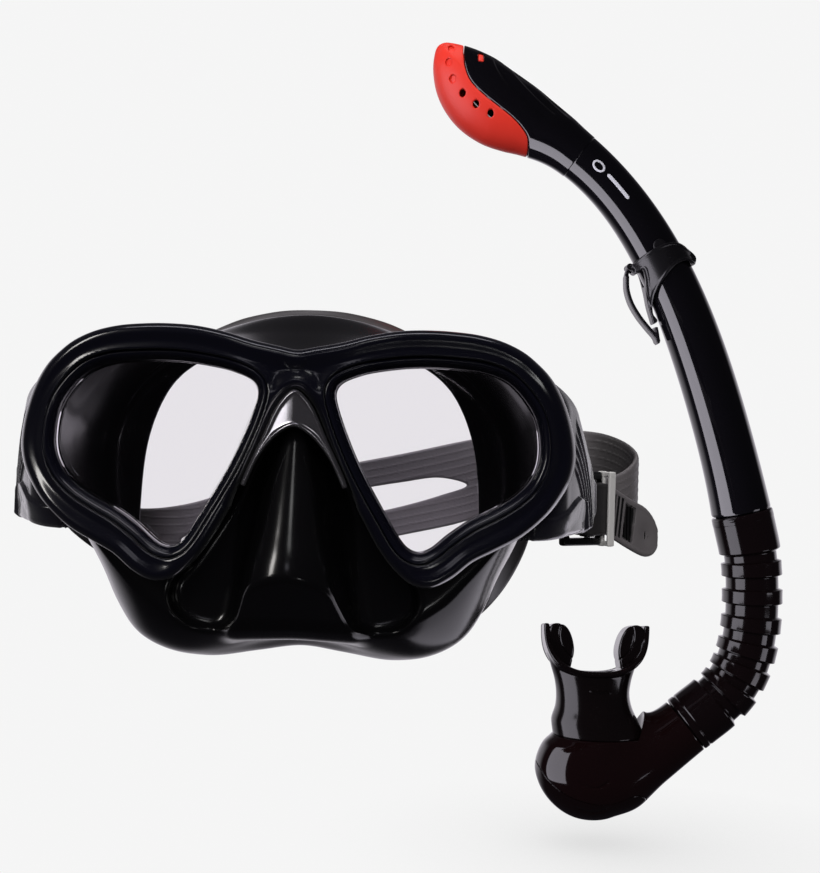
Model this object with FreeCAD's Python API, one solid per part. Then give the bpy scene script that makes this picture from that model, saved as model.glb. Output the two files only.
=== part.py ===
"""Snorkelling set: two-lens dive mask with silicone skirt, swinging buckles and head strap, and a
flex-hose snorkel with splash cap, strap keeper, purge chamber and bite mouthpiece.

Millimetres: +Z up, +X to the wearer's left, -Y forward, away from the face.
Origin: on the strap's swing axis, midway between the two side arms, on the mask's mirror plane.
The snorkel stands apart from the mask, in a plane behind it.
"""

import FreeCAD, Part
import math
import os

V = FreeCAD.Vector
X_AXIS, Y_AXIS = V(1, 0, 0), V(0, 1, 0)
os.makedirs("parts", exist_ok=True)

# ---------------------------------------------------------------- driving dimensions
LENS_TILT = 0.12  # how fast each lens falls back towards the temple, mm per mm
LENS_Y0, LENS_X0 = -43.5, 11.0  # front face of the glass at its nose-side edge
LENS_BOSS = 1.0  # exposed front step of the glass
LENS_T = 3.5  # full glass thickness
LENS_FLANGE = 2.2  # how far the glass runs under the retaining ring
RING_W, RING_FRONT = 3.2, 4.0  # retaining ring's width, and how far it stands in front of the glass
WALL_GAP = 0.15  # between the glass's back and the skirt's front wall
SKIRT_T = 2.0
PIVOT_R = 1.6  # strap pivot pin radius
STRAP_T, STRAP_H = 2.0, 17.5  # strap thickness, and its width at the buckles
ROLLER_R, ROLLER_PIN_R = 2.6, 1.0
SNORKEL_Y = 142.0  # plane that the snorkel's centre line lies in
TUBE_WALL = 1.8
SPIGOT_R = 10.9  # foot of the tube, inside the hose
HOSE_RIB_R, HOSE_VALLEY_R, HOSE_BORE_R = 12.65, 10.9, 9.3
KEEPER_GAP = 0.35  # keeper ring's clearance on the tube
SEAM_GAP = 0.08  # half the gap between two parts that share a seam

# lens opening on the +X side, closed: (x, z)
LENS = [
    (11.2, 32.0), (12.6, 34.6), (18.5, 37.4), (27.0, 39.2), (36.0, 40.1), (46.5, 39.9),
    (54.5, 39.0), (61.0, 36.6), (66.3, 31.5), (69.6, 26.0), (71.0, 19.0), (70.8, 13.6),
    (68.3, 7.6), (64.0, 3.2), (57.2, -1.0), (51.4, -4.0), (45.0, -8.5), (39.6, -12.9),
    (36.3, -14.0), (32.8, -12.4), (26.3, -2.6), (18.0, 12.4), (12.4, 26.2)]


# ---------------------------------------------------------------- saving
def save(name, shape):
    """Write one part and return its solid, or a compound of its solids."""
    solids = shape.Solids
    assert solids, name
    for solid in solids:
        assert solid.isValid(), name + " has an invalid solid"
    part = solids[0] if len(solids) == 1 else Part.makeCompound(solids)
    part.exportStep("parts/%s.step" % name)
    return part


def mirror_x(shape):
    return shape.mirror(V(0, 0, 0), X_AXIS)


def save_pair(name, left):
    """Write the wearer's left (+X) part and its mirror image."""
    save(name + "_left", left)
    save(name + "_right", mirror_x(left))


def drop_scraps(shape, volume):
    """Only the solids larger than a volume."""
    return Part.makeCompound([s for s in shape.Solids if s.Volume > volume])


# ---------------------------------------------------------------- outlines
def mirrored(half):
    """A run of 2D points on the other side of the mirror plane, in reverse order."""
    return [(-x, other) for x, other in reversed(half)]


def whole(half):
    """Closed outline, from a half that runs from the mirror plane round to the mirror plane."""
    return half + [p for p in mirrored(half) if abs(p[0]) > 1e-6]


def from_middle(half):
    """Open run from -X to +X, from the half that starts at the middle."""
    return mirrored(half[1:]) + half


def to_middle(half):
    """Open run from +X to -X, from the half that ends at the middle."""
    return half + mirrored(half[:-1])


def spline(points, closed=True):
    curve = Part.BSplineCurve()
    curve.interpolate(Points=[V(*p) for p in points], PeriodicFlag=closed)
    return curve


def closed_wire(points):
    return Part.Wire([spline(points).toShape()])


def open_edge(outline, y):
    """Smooth open edge through (x, z) points."""
    return spline([(x, y, z) for x, z in outline], False).toShape()


def polygon_face(points):
    return Part.Face(Part.makePolygon([V(*p) for p in points] + [V(*points[0])]))


def offset(outline, distance, count=64):
    """Points on a closed curve through (x, z) points, moved outwards by a distance."""
    curve = spline([(x, 0, z) for x, z in outline])
    first, last = curve.FirstParameter, curve.LastParameter
    samples = []
    for i in range(count):
        u = first + (last - first) * i / count
        samples.append((curve.value(u), curve.tangent(u)[0]))
    following = samples[1:] + samples[:1]
    area = sum(p.x * q.z - q.x * p.z for (p, _), (q, _) in zip(samples, following))
    sign = 1 if area > 0 else -1
    return [(p.x + distance * sign * t.z, p.z - distance * sign * t.x) for p, t in samples]


def smooth(points, count):
    """count + 1 points on a smooth open curve through 2D points."""
    curve = spline([(a, b, 0) for a, b in points], closed=False)
    first, last = curve.FirstParameter, curve.LastParameter
    on_curve = [curve.value(first + (last - first) * i / count) for i in range(count + 1)]
    return [(p.x, p.y) for p in on_curve]


# ---------------------------------------------------------------- basic solids
def loft(wires, ruled=False):
    return Part.makeLoft(wires, True, ruled)


def prism_y(outline, y0, y1):
    """Prism over a smooth closed (x, z) outline."""
    return Part.Face(closed_wire([(x, y0, z) for x, z in outline])).extrude(V(0, y1 - y0, 0))


def plan_prism(plan, z0, z1):
    """Prism over a polygon of (x, y) points."""
    return polygon_face([(x, y, z0) for x, y in plan]).extrude(V(0, 0, z1 - z0))


def slab(outline, half_depth):
    """Prism over a polygon of (x, z) points, centred on the snorkel's plane."""
    face = polygon_face([(x, SNORKEL_Y - half_depth, z) for x, z in outline])
    return face.extrude(V(0, 2 * half_depth, 0))


def rod_y(x, z, radius, half_length):
    """Cylinder along Y, centred on the snorkel's plane."""
    return Part.makeCylinder(radius, 2 * half_length, V(x, SNORKEL_Y - half_length, z), Y_AXIS)


def rod_x(x, radius, length):
    """Cylinder on the strap's swing axis, starting at x."""
    return Part.makeCylinder(radius, length, V(x, 0, 0), X_AXIS)


# ---------------------------------------------------------------- lens plane
TILT = math.atan(LENS_TILT)
LENS_NORMAL = V(math.sin(TILT), -math.cos(TILT), 0)  # forward, out of the +X lens


def lens_wire(outline, height):
    """Smooth (x, z) outline laid on the +X lens's plane, a height in front of the glass."""
    return closed_wire([
        V(x, LENS_Y0 + LENS_TILT * (x - LENS_X0), z) + LENS_NORMAL * height for x, z in outline])


def lens_prism(grow, height0, height1):
    """Prism over the lens opening grown by a distance, between two heights."""
    face = Part.Face(lens_wire(offset(LENS, grow), height0))
    return face.extrude(LENS_NORMAL * (height1 - height0))


def wall_y(x, extra=0.0):
    """Front of the skirt's wall behind the glass."""
    return LENS_Y0 + LENS_TILT * max(0.0, abs(x) - LENS_X0) + LENS_T + WALL_GAP + extra


# ---------------------------------------------------------------- lenses and rings
def build_lenses():
    glass = lens_prism(LENS_FLANGE, -LENS_T, -LENS_BOSS)
    glass = glass.fuse(lens_prism(-0.2, -LENS_BOSS - 0.01, 0))
    save_pair("lens", glass.removeSplitter())


def build_lens_rings():
    ring = lens_prism(RING_W - 0.15, -LENS_BOSS + 0.05, RING_FRONT).cut(lens_prism(0.05, -4, 9))
    bevel = loft([lens_wire(offset(LENS, 0.0), 1.2),
                  lens_wire(offset(LENS, 1.9), RING_FRONT + 0.2)])
    # guards the bevel along the ring's inner edge: if its cut fails, the ring stays square
    try:
        bevelled = ring.cut(bevel)
        if bevelled.isValid() and bevelled.Solids:
            ring = bevelled
    except Exception:
        pass
    save_pair("lens_ring", ring)


# ---------------------------------------------------------------- frame
# outer outline on the +X side, from the middle of the brow to the foot of the bridge: (x, z)
FRAME_BROW = [
    (0.0, 44.0), (5.0, 44.9), (13.0, 46.5), (20.5, 48.6), (29.5, 50.3), (38.0, 50.8),
    (45.5, 50.6), (52.5, 49.9), (59.5, 48.2), (65.5, 45.5), (69.5, 42.6), (74.0, 38.3),
    (78.0, 32.2), (80.9, 25.0), (82.4, 18.5), (82.6, 14.0), (81.4, 8.8), (78.6, 3.6),
    (74.3, -1.9), (66.3, -8.6), (58.5, -12.8), (52.3, -16.0), (46.0, -21.0), (40.5, -23.5),
    (35.0, -22.9), (29.5, -18.6), (24.8, -12.6), (18.6, -1.8)]
# arch over the nose on the +X side, from the bridge's foot to the middle: (x, z)
FRAME_ARCH = [FRAME_BROW[-1], (16.6, 4.0), (10.2, 17.2), (4.2, 29.4), (0.0, 32.7)]
# plan of the front surface on the +X side: (x, y)
FRAME_FRONT = [(0, -48.5), (10, -48.6), (20, -48.1), (40, -46.2), (60, -43.2), (70, -40.2),
               (77, -36.0), (81, -32.5), (84, -29.0)]
FRAME_SIDE_X, FRAME_BACK_Y = 90.0, -23.5  # plan's side, beyond the outline, and its rear end


def frame_prism(y, depth):
    """Prism over the frame's outline, two smooth runs that meet in corners at the bridge's feet."""
    edges = [open_edge(from_middle(FRAME_BROW), y), open_edge(to_middle(FRAME_ARCH), y)]
    return Part.Face(Part.Wire(edges)).extrude(V(0, depth, 0))


def build_frame():
    front = smooth(FRAME_FRONT, 40)
    side = [(FRAME_SIDE_X, front[-1][1]), (FRAME_SIDE_X, FRAME_BACK_Y), (79.4, FRAME_BACK_Y)]
    back = [(x, wall_y(x, -WALL_GAP)) for x in (76.8, 60, 40, 20, 11, 0)]
    frame = frame_prism(-70, 60).common(plan_prism(whole(front + side + back), -60, 70))
    hole = lens_prism(RING_W, -20, 30)
    frame = frame.cut(hole).cut(mirror_x(hole))
    # seat behind the glass's flange, on the +X side only
    frame = frame.cut(lens_prism(LENS_FLANGE + 0.3, -20, -LENS_BOSS + 0.02))
    save("frame", frame)


# ---------------------------------------------------------------- bridge trim
# inverted V over the nose, +X side: (x, z)
TRIM_OUTER = [(0.0, 32.4), (4.1, 29.1), (10.0, 17.1), (16.3, 4.3)]
TRIM_INNER = [(14.0, 4.3), (10.6, 11.8), (7.2, 16.7), (3.8, 20.0), (0.0, 21.7)]
TRIM_FRONT_Y, TRIM_DEPTH = -53, 7.5


def build_bridge_trim():
    (outer_x, foot_z), (inner_x, _) = TRIM_OUTER[-1], TRIM_INNER[0]

    def foot(x0, x1):
        return Part.makeLine(V(x0, TRIM_FRONT_Y, foot_z), V(x1, TRIM_FRONT_Y, foot_z))

    edges = [open_edge(from_middle(TRIM_OUTER), TRIM_FRONT_Y), foot(outer_x, inner_x),
             open_edge(to_middle(TRIM_INNER), TRIM_FRONT_Y), foot(-inner_x, -outer_x)]
    return save("bridge_trim", Part.Face(Part.Wire(edges)).extrude(V(0, TRIM_DEPTH, 0)))


# ---------------------------------------------------------------- skirt
# outer half outlines at depth stations, from the top round through +X: y: (x, z)
SKIRT_SECTIONS = {
    -45: [(0, 41), (14, 43.5), (30, 46.5), (45, 46.8), (58, 44), (68, 37), (73, 28), (75.5, 18),
          (74, 9), (68, 0), (58, -8), (48, -15), (40, -19.5), (33, -24.0), (20, -30.0),
          (0, -33.0)],
    -28: [(0, 44), (14, 46), (30, 48), (45, 48), (58, 45), (68, 38), (74, 28), (76, 18),
          (74.5, 8), (70, -2), (62, -13), (54, -24), (45, -33), (34, -38), (20, -39.0),
          (0, -38.0)],
    -5: [(0, 53.5), (14, 52.6), (30, 49.6), (45, 46.5), (58, 41), (68, 33), (74, 24), (76.5, 14),
         (75.5, 2), (71, -12), (65, -25), (58, -38), (47, -47), (34, -50.5), (18, -48.0),
         (0, -45.5)],
    15: [(0, 59.6), (15, 58), (30, 53.4), (45, 47.5), (58, 39), (68, 29), (75, 18), (78, 6),
         (77.5, -8), (73.5, -20), (67, -31), (59, -40.5), (47, -48.5), (34, -51.5), (18, -49.5),
         (0, -46.5)],
    50: [(0, 62.5), (16, 61), (32, 56), (48, 50), (62, 38.5), (72, 25), (78.5, 10), (81, -5),
         (79.5, -18), (74.5, -28), (67, -37), (58, -44), (46, -49.5), (33, -52), (17, -50),
         (0, -47)],
}
# opening in the rear lip, half outline for +X: (x, z)
FACE_OPENING = [
    (0, 51.0), (14, 50.0), (28, 46.5), (39, 41.5), (45.5, 36), (50, 29), (53.5, 20), (55.3, 12),
    (56.5, -1), (56.5, -13), (53, -24), (46, -33), (36, -38), (26, -36), (18, -30), (12, -27),
    (0, -26)]
REAR_LIP_T = 1.6
# nose pocket, level sections from the bridge down to the underside: (z, half width, front y)
NOSE = [(21.0, 3.2, -48.6), (14.0, 5.6, -51.5), (4.0, 9.0, -55.5), (-6.0, 12.0, -59.0),
        (-14.0, 15.0, -61.5), (-19.5, 16.5, -62.0), (-24.0, 17.5, -59.0), (-29.0, 18.5, -53.0),
        (-32.5, 19.5, -46.0)]
NOSE_BACK_Y = -30.0
NOSE_TOP_T, NOSE_FLOOR_T = 1.5, 1.8  # the pocket's wall at its two ends


def skirt_loft(grow):
    return loft([closed_wire([(x, y, z) for x, z in offset(whole(SKIRT_SECTIONS[y]), grow, 48)])
                 for y in sorted(SKIRT_SECTIONS)])


def rear_y(x):
    """Plan curve of the skirt's rear."""
    return 18.0 + 24.0 * (x / 80.0) ** 2


def behind(curve_y, far_y):
    """Plan prism from the curve curve_y(x) back to far_y."""
    xs = [-95 + 190 * k / 48 for k in range(49)]
    return plan_prism([(x, curve_y(x)) for x in xs] + [(95, far_y), (-95, far_y)], -90, 100)


def nose_wire(z, half_width, front_y, wall):
    w, front, back = half_width - wall, front_y + wall, NOSE_BACK_Y
    half = [(0, front), (w * 0.55, front + 1.6), (w * 0.9, front + 6.5),
            (w * 1.12, (front + back) / 2), (w * 1.3, back - 3), (w * 0.9, back + 1),
            (0, back + 1.5)]
    return closed_wire([(x, y, z) for x, y in whole(half)])


def build_skirt(bridge_trim):
    body = skirt_loft(0.0).common(behind(wall_y, 80)).cut(behind(rear_y, 90))
    cavity = skirt_loft(-SKIRT_T).common(behind(lambda x: wall_y(x, SKIRT_T), 80))
    cavity = cavity.cut(behind(lambda x: rear_y(x) - REAR_LIP_T, 90))
    nose_outer = loft([nose_wire(*section, 0) for section in NOSE])
    shifts = [-NOSE_TOP_T] + [0] * (len(NOSE) - 2) + [NOSE_FLOOR_T]
    nose_inner = loft([nose_wire(z + shift, half_width, front_y, SKIRT_T)
                       for (z, half_width, front_y), shift in zip(NOSE, shifts)])
    skirt = body.fuse(nose_outer).cut(cavity).cut(nose_inner)
    skirt = skirt.cut(prism_y(offset(whole(FACE_OPENING), 0.0, 48), 0, 70))
    window = lens_prism(-0.1, -12, 6)
    skirt = skirt.cut(window).cut(mirror_x(window))
    # clear the frame's outline in front of the skirt's wall
    before_wall = behind(lambda x: -90, 0).cut(behind(lambda x: wall_y(x, -0.1), 90))
    skirt = skirt.cut(frame_prism(-80, 42).common(before_wall))
    save("skirt", drop_scraps(skirt.cut(bridge_trim), 500))


# ---------------------------------------------------------------- side arms and pivot pins
# plan curves of the arm's two faces: (x, y)
ARM_OUTER = [(82.9, -23.3), (86.2, -17.0), (89.4, -9.0), (91.8, -2.0), (93.6, 5.5)]
ARM_INNER = [(78.3, -23.3), (82.0, -17.0), (85.2, -9.0), (87.8, -2.0), (89.8, 5.5)]
ARM_END_Y = 7.5
# arm's side view: (y, z)
ARM_SIDE = [(-23.4, 32.0), (-18, 28.4), (-12, 22.5), (-6, 15.5), (-2.5, 11.0), (1.0, 8.6),
            (4.5, 7.2), (7.0, 4.0), (8.0, 0), (7.0, -4.0), (4.5, -7.0), (0, -8.2), (-10, -8.4),
            (-18, -8.0), (-23.4, -6.6)]


def build_side_arms():
    end = [(ARM_OUTER[-1][0], ARM_END_Y), (ARM_INNER[-1][0], ARM_END_Y)]
    plan = smooth(ARM_OUTER, 16) + end + smooth(ARM_INNER, 16)[::-1]
    arm = plan_prism(plan, -40, 60)
    arm = arm.common(polygon_face([(60, y, z) for y, z in ARM_SIDE]).extrude(V(60, 0, 0)))
    # blind bore that stops short of the arm's outer face
    save_pair("side_arm", arm.cut(rod_x(70, PIVOT_R + 0.05, 20.6)))


def build_pivot_pins():
    save_pair("pivot_pin", rod_x(80.5, PIVOT_R, 10.0).fuse(rod_x(79.4, 3.2, 1.2)))


# ---------------------------------------------------------------- buckles, clamp bars, rollers
BUCKLE_L, BUCKLE_H, BUCKLE_BAR = 18.0, 24.5, 2.6  # length with clamp bar, height, bar width
RING_END = BUCKLE_L - 2.0  # where the buckle's own ring stops
ROLLER_AT = 11.0  # roller's axis from the buckle's start
ROLLER_TEETH = 14
HUB_X, HUB_T = 82.0, 3.2  # disc on the pivot pin


class Buckle:
    """Place of one buckle, always worked out on the +X side."""

    def __init__(self, angle, start, z, web_height):
        turn = math.radians(angle)
        self.along = V(math.cos(turn), math.sin(turn), 0)
        self.out = V(math.sin(turn), -math.cos(turn), 0)
        self.start, self.z, self.web_height = start, z, web_height
        self.bottom, self.top = z - BUCKLE_H / 2, z + BUCKLE_H / 2
        self.roller = start + self.along * ROLLER_AT

    def block(self, along0, along1, half_out, z0, z1):
        corners = [self.start + self.along * a + self.out * o + V(0, 0, z0)
                   for a, o in ((along0, -half_out), (along1, -half_out),
                                (along1, half_out), (along0, half_out))]
        return polygon_face(corners).extrude(V(0, 0, z1 - z0))

    def post(self, radius, height, lift, along_x=0.0, along_y=0.0):
        """Upright cylinder at the roller, lifted from the buckle's bottom."""
        foot = V(self.roller.x + along_x, self.roller.y + along_y, self.bottom + lift)
        return Part.makeCylinder(radius, height, foot)

    def from_roller(self, along, out):
        """Plan place (x, y) measured from the roller's axis."""
        point = self.roller + self.along * along + self.out * out
        return point.x, point.y


# angle: in plan, from +X towards +Y; start: front end of the ring; z: mid-height
BUCKLES = {
    "left": Buckle(angle=31.5, start=V(83.2, 9.5, 0), z=-2.2, web_height=9.0),
    "right": Buckle(angle=84.0, start=V(84.6, 9.0, 0), z=2.0, web_height=7.5),
}


def make_buckle(b):
    bar = BUCKLE_BAR
    ring = b.block(0, RING_END, 1.5, b.bottom, b.top)
    ring = ring.cut(b.block(bar, RING_END - 0.6, 3, b.bottom + bar, b.top - bar))
    ring = ring.fuse(b.block(RING_END - 0.7, RING_END, 1.5, b.bottom, b.top))
    web = Part.makeBox(HUB_T, 11.5, b.web_height, V(HUB_X, 0.0, b.z - 4.5))
    buckle = ring.fuse(rod_x(HUB_X, 5.4, HUB_T)).fuse(web)
    buckle = buckle.cut(b.post(ROLLER_PIN_R + 0.02, BUCKLE_H - 2.0, 1.0))
    return buckle.cut(rod_x(78, PIVOT_R + 0.06, 12)).removeSplitter()


def make_clamp_bar(b):
    overhang = 0.2
    bar = b.block(RING_END + 0.05, BUCKLE_L - 0.6, 1.7, b.bottom - overhang, b.top + overhang)
    height = BUCKLE_H + 2 * overhang
    return bar.makeFillet(0.4, [e for e in bar.Edges if abs(e.Length - height) < 0.02])


def make_roller(b):
    room = BUCKLE_H - 2 * BUCKLE_BAR
    roller = b.post(ROLLER_R - 0.25, room - 0.6, BUCKLE_BAR + 0.3)
    teeth = []
    for k in range(ROLLER_TEETH):
        a = 2 * math.pi * k / ROLLER_TEETH
        teeth.append(b.post(0.42, room - 1.0, BUCKLE_BAR + 0.5,
                            2.18 * math.cos(a), 2.18 * math.sin(a)))
    return roller.multiFuse(teeth).cut(b.post(ROLLER_PIN_R + 0.05, 40, -5))


def build_buckles():
    for side, b in BUCKLES.items():
        parts = {
            "buckle": make_buckle(b),
            "clamp_bar": make_clamp_bar(b),
            "strap_roller": make_roller(b),
            "roller_pin": b.post(ROLLER_PIN_R, BUCKLE_H - 2.2, 1.1),
        }
        for name, shape in parts.items():
            save("%s_%s" % (name, side), shape if side == "left" else mirror_x(shape))


# ---------------------------------------------------------------- head strap
STRAP_BEND_R = ROLLER_R + 0.45 + STRAP_T / 2  # middle of the strap round a roller
# loose ends: (distance along the buckle from the roller, distance out from the bend, z, height)
LEFT_TAIL = [(27.6, 1.2, -12.4, 13.0), (24.5, 1.02, -11.2, 17.0), (21.0, 0.78, -9.7, 17.0),
             (17.5, 0.54, -8.2, 17.0), (13.5, 0.3, -6.2, 17.0), (10.5, 0.12, -4.4, 17.0),
             (7.0, 0.0, -2.6, 17.0)]
RIGHT_TAIL = [(3.5, 0.0, 2.0, 17.0), (8.0, 0.2, 1.0, 17.0), (13.0, 0.8, 0.0, 17.0),
              (18.0, 1.6, -1.0, 13.0)]
# inner runs beside the rollers: (distance along the buckle from the roller, z)
LEFT_RUN = [(4.0, -2.0), (8.0, -1.2)]
RIGHT_RUN = [(11.0, 0.0), (7.0, 1.5), (3.5, 2.0)]
# round the back of the head, from left to right: (x, y, z, height)
HEAD_RUN = [
    (104.6, 25.0, 1.0, 17.5), (109.6, 29.5, 4.5, 17.5), (111.2, 34.5, 7.5, 17.5),
    (108.8, 40.5, 11.0, 17.5), (102.0, 46.0, 14.0, 17.5), (92.0, 51.5, 14.6, 18.5),
    (80.0, 57.0, 12.4, 21.5), (67.0, 62.5, 8.6, 26.5), (54.0, 67.0, 4.2, 30.0),
    (30.0, 71.0, -1.8, 30.5), (0.0, 72.5, -8.6, 31.0), (-28.0, 71.5, -15.5, 30.0),
    (-48.0, 67.5, -20.5, 27.0), (-63.0, 62.5, -20.5, 23.0), (-75.5, 55.0, -16.5, 19.0),
    (-83.0, 47.0, -10.5, 17.5), (-85.8, 39.0, -5.0, 17.5)]
# long eye that splits the back in two bands: (x, z)
STRAP_EYE = [(54.5, 2.6), (45, 5.0), (30, 2.8), (0, -3.2), (-28, -10.2), (-44, -16.5),
             (-50.5, -20.8), (-42, -22.8), (-28, -20.0), (0, -13.5), (30, -6.2), (45, -1.4)]


def strap_path():
    """Stations (x, y, z, height) of the strap's middle, from the left tail to the right tail."""
    radius = STRAP_BEND_R
    bend = [math.pi * k / 8 for k in range(9)]
    b = BUCKLES["left"]
    path = [(*b.from_roller(along, radius + out), z, h) for along, out, z, h in LEFT_TAIL]
    path += [(*b.from_roller(-radius * math.sin(a), radius * math.cos(a)), b.z, STRAP_H)
             for a in bend]
    path += [(*b.from_roller(along, -radius), z, STRAP_H) for along, z in LEFT_RUN]
    path += HEAD_RUN
    b = BUCKLES["right"]
    right = [(*b.from_roller(along, -radius), z, STRAP_H) for along, z in RIGHT_RUN]
    right += [(*b.from_roller(-radius * math.sin(a), -radius * math.cos(a)), b.z, STRAP_H)
              for a in bend]
    right += [(*b.from_roller(along, radius + out), z, h) for along, out, z, h in RIGHT_TAIL]
    return path + [(-x, y, z, h) for x, y, z, h in right]


def build_head_strap():
    path = strap_path()
    wires = []
    for k, (x, y, z, height) in enumerate(path):
        before, after = path[max(k - 1, 0)], path[min(k + 1, len(path) - 1)]
        across = V(before[1] - after[1], after[0] - before[0], 0)
        across.normalize()
        corners = [V(x, y, z) + across * (a * STRAP_T / 2) + V(0, 0, b * height / 2)
                   for a, b in ((-1, -1), (1, -1), (1, 1), (-1, 1))]
        wires.append(Part.makePolygon(corners + [corners[0]]))
    strap = loft(wires, ruled=True)
    # the eye is limited to the rear, so that it leaves the buckle ends whole
    eye = prism_y(STRAP_EYE, 0, 110).common(Part.makeBox(140, 60, 100, V(-70, 52, -60)))
    save("head_strap", strap.cut(eye))


# ---------------------------------------------------------------- snorkel sections and lofts
def unit(x, z):
    vector = V(x, 0, z)
    vector.normalize()
    return vector


def direction(points, k):
    """Direction of a run of (x, z, ...) points at the point k."""
    a, b = points[max(k - 1, 0)], points[min(k + 1, len(points) - 1)]
    return unit(b[0] - a[0], b[1] - a[1])


def square_to(vector):
    return V(-vector.z, 0, vector.x)


def oval(centre, across, r_across, r_y, count=16):
    """Closed wire with one radius along the vector across and one along Y."""
    angles = [2 * math.pi * j / count for j in range(count)]
    return closed_wire([centre + across * (r_across * math.cos(a)) + Y_AXIS * (r_y * math.sin(a))
                        for a in angles])


def tube_loft(stations, shrink=0.0, first=None):
    """Round loft through (x, z, radius) stations; first sets the first section's normal."""
    wires = []
    for k, (x, z, radius) in enumerate(stations):
        normal = first if first is not None and k == 0 else direction(stations, k)
        r = radius - shrink
        wires.append(oval(V(x, SNORKEL_Y, z), square_to(normal), r, r))
    return loft(wires)


def pipe(points, radius):
    """Round loft of one radius through (x, z) points."""
    return tube_loft([(x, z, radius) for x, z in points])


def level_loft(sections):
    """Loft through level ovals: (z, centre x, x radius, y radius)."""
    return loft([oval(V(x, SNORKEL_Y, z), X_AXIS, rx, ry, 20) for z, x, rx, ry in sections])


# ---------------------------------------------------------------- snorkel tube
# from the head down to the hose: (x, z, radius)
TUBE = [(101.4, 140.4, 10.1), (111.5, 131.2, 9.95), (119.4, 122.9, 9.95), (126.0, 114.6, 10.05),
        (131.9, 106.1, 10.3), (137.6, 95.6, 10.65), (142.9, 85.0, 11.0), (148.7, 72.8, 11.3),
        (153.7, 60.3, 11.4), (158.3, 47.5, 11.5), (163.7, 30.6, 11.7), (168.7, 13.9, 11.9),
        (172.6, -1.5, 12.3), (174.2, -7.9, 12.45)]
SPIGOT_LINE = [(173.9, -6.8), (176.4, -16.0), (178.1, -22.6)]  # (x, z)
TOP_DIR = unit(0.785, -0.62)  # normal of the seam between the housing and the tube
TOP_CENTRE = V(TUBE[0][0], SNORKEL_Y, TUBE[0][1])


def build_snorkel_tube():
    def top_plug(radius, length):
        return Part.makeCylinder(radius, length, TOP_CENTRE + TOP_DIR * 3.0, TOP_DIR * -1)

    tube = tube_loft(TUBE, first=TOP_DIR).fuse(pipe(SPIGOT_LINE, SPIGOT_R))
    tube = tube.fuse(top_plug(7.6, 9.0))
    bore = [(*TUBE[0][:2], 8.4)] + TUBE[1:-2] + [
        (*TUBE[-2][:2], 11.0), (176.4, -16.0, SPIGOT_R), (179.0, -26.0, SPIGOT_R)]
    tube = tube.cut(tube_loft(bore, TUBE_WALL, first=TOP_DIR)).cut(top_plug(6.4, 12.0))
    save("snorkel_tube", tube)


# ---------------------------------------------------------------- snorkel head
# from the tube to the tip: (x, z, radius, y radius as a share of the radius)
HEAD = [(101.28, 140.5, 10.1, 1.0), (95.8, 144.4, 10.9, 1.02), (85.2, 150.3, 12.9, 0.98),
        (74.6, 156.4, 15.2, 0.88), (63.5, 163.4, 16.6, 0.82), (53.2, 171.5, 14.6, 0.84),
        (46.6, 178.6, 10.2, 0.9), (42.6, 184.0, 5.2, 0.9)]
# seam between the housing and the cap: (x, z)
HEAD_SEAM = [(51.0, 200.0), (51.2, 186.0), (51.0, 179.7), (52.0, 173.0), (54.3, 168.0),
             (59.4, 162.8), (65.6, 158.1), (71.7, 153.6), (76.0, 149.5), (78.5, 145.9),
             (79.3, 139.9), (79.6, 120.0)]
CAP_HOLES = [(45.8, 183.0), (44.9, 176.8), (46.8, 169.6), (50.9, 163.4), (56.6, 158.8),
             (62.7, 155.0)]  # (x, z)
CAP_HOLE_R = 1.35
TONGUE_Z, TONGUE_H = 177.3, 3.6  # underside and height of the cap's two tongues


def head_loft(shrink, base_shift=0.0):
    """The head made smaller all round, its base moved by base_shift towards the tip."""
    wires = []
    for k, (x, z, radius, y_share) in enumerate(HEAD):
        normal = TOP_DIR * -1 if k == 0 else direction(HEAD, k)
        shift = {0: base_shift, len(HEAD) - 1: -shrink}.get(k, 0)
        wires.append(oval(V(x, SNORKEL_Y, z) + normal * shift, square_to(normal),
                          radius - shrink, max(radius * y_share - shrink, 1.2)))
    return loft(wires)


def beside_seam(shift, to_x):
    """Slab from the shifted head seam to the plane x = to_x."""
    seam = [(x + shift, z) for x, z in smooth(HEAD_SEAM, 60)]
    return slab(seam + [(to_x, HEAD_SEAM[-1][1]), (to_x, HEAD_SEAM[0][1])], 40)


def tongue_box(x, width):
    return Part.makeBox(width, 60, TONGUE_H, V(x, SNORKEL_Y - 30, TONGUE_Z))


def build_snorkel_head():
    head = head_loft(0.0).cut(head_loft(2.0, -1.0))
    housing = head.common(beside_seam(SEAM_GAP, 150.0))
    for y in (-18.0, 6.0):  # a window on each side
        housing = housing.cut(Part.makeBox(2.8, 12, 4.6, V(56.8, SNORKEL_Y + y, 176.8)))
    save("top_housing", drop_scraps(housing, 200))

    cap_side = beside_seam(-SEAM_GAP, 10.0)
    cap = head.common(cap_side)
    for x, z in CAP_HOLES:
        cap = cap.cut(rod_y(x, z, CAP_HOLE_R, 30))
    # tongues under the housing, nubs that show in its windows, and their link to the cap
    cap = cap.fuse(head_loft(2.15, -1.0).cut(head_loft(3.6, -1.0)).common(tongue_box(50.9, 9.2)))
    cap = cap.fuse(head_loft(1.0).cut(head_loft(2.6)).common(tongue_box(57.1, 2.2)))
    link = head_loft(0.9).cut(head_loft(3.6)).common(tongue_box(48.1, 2.6))
    cap = cap.fuse(link.common(cap_side))
    save("splash_cap", drop_scraps(cap, 200))


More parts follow.
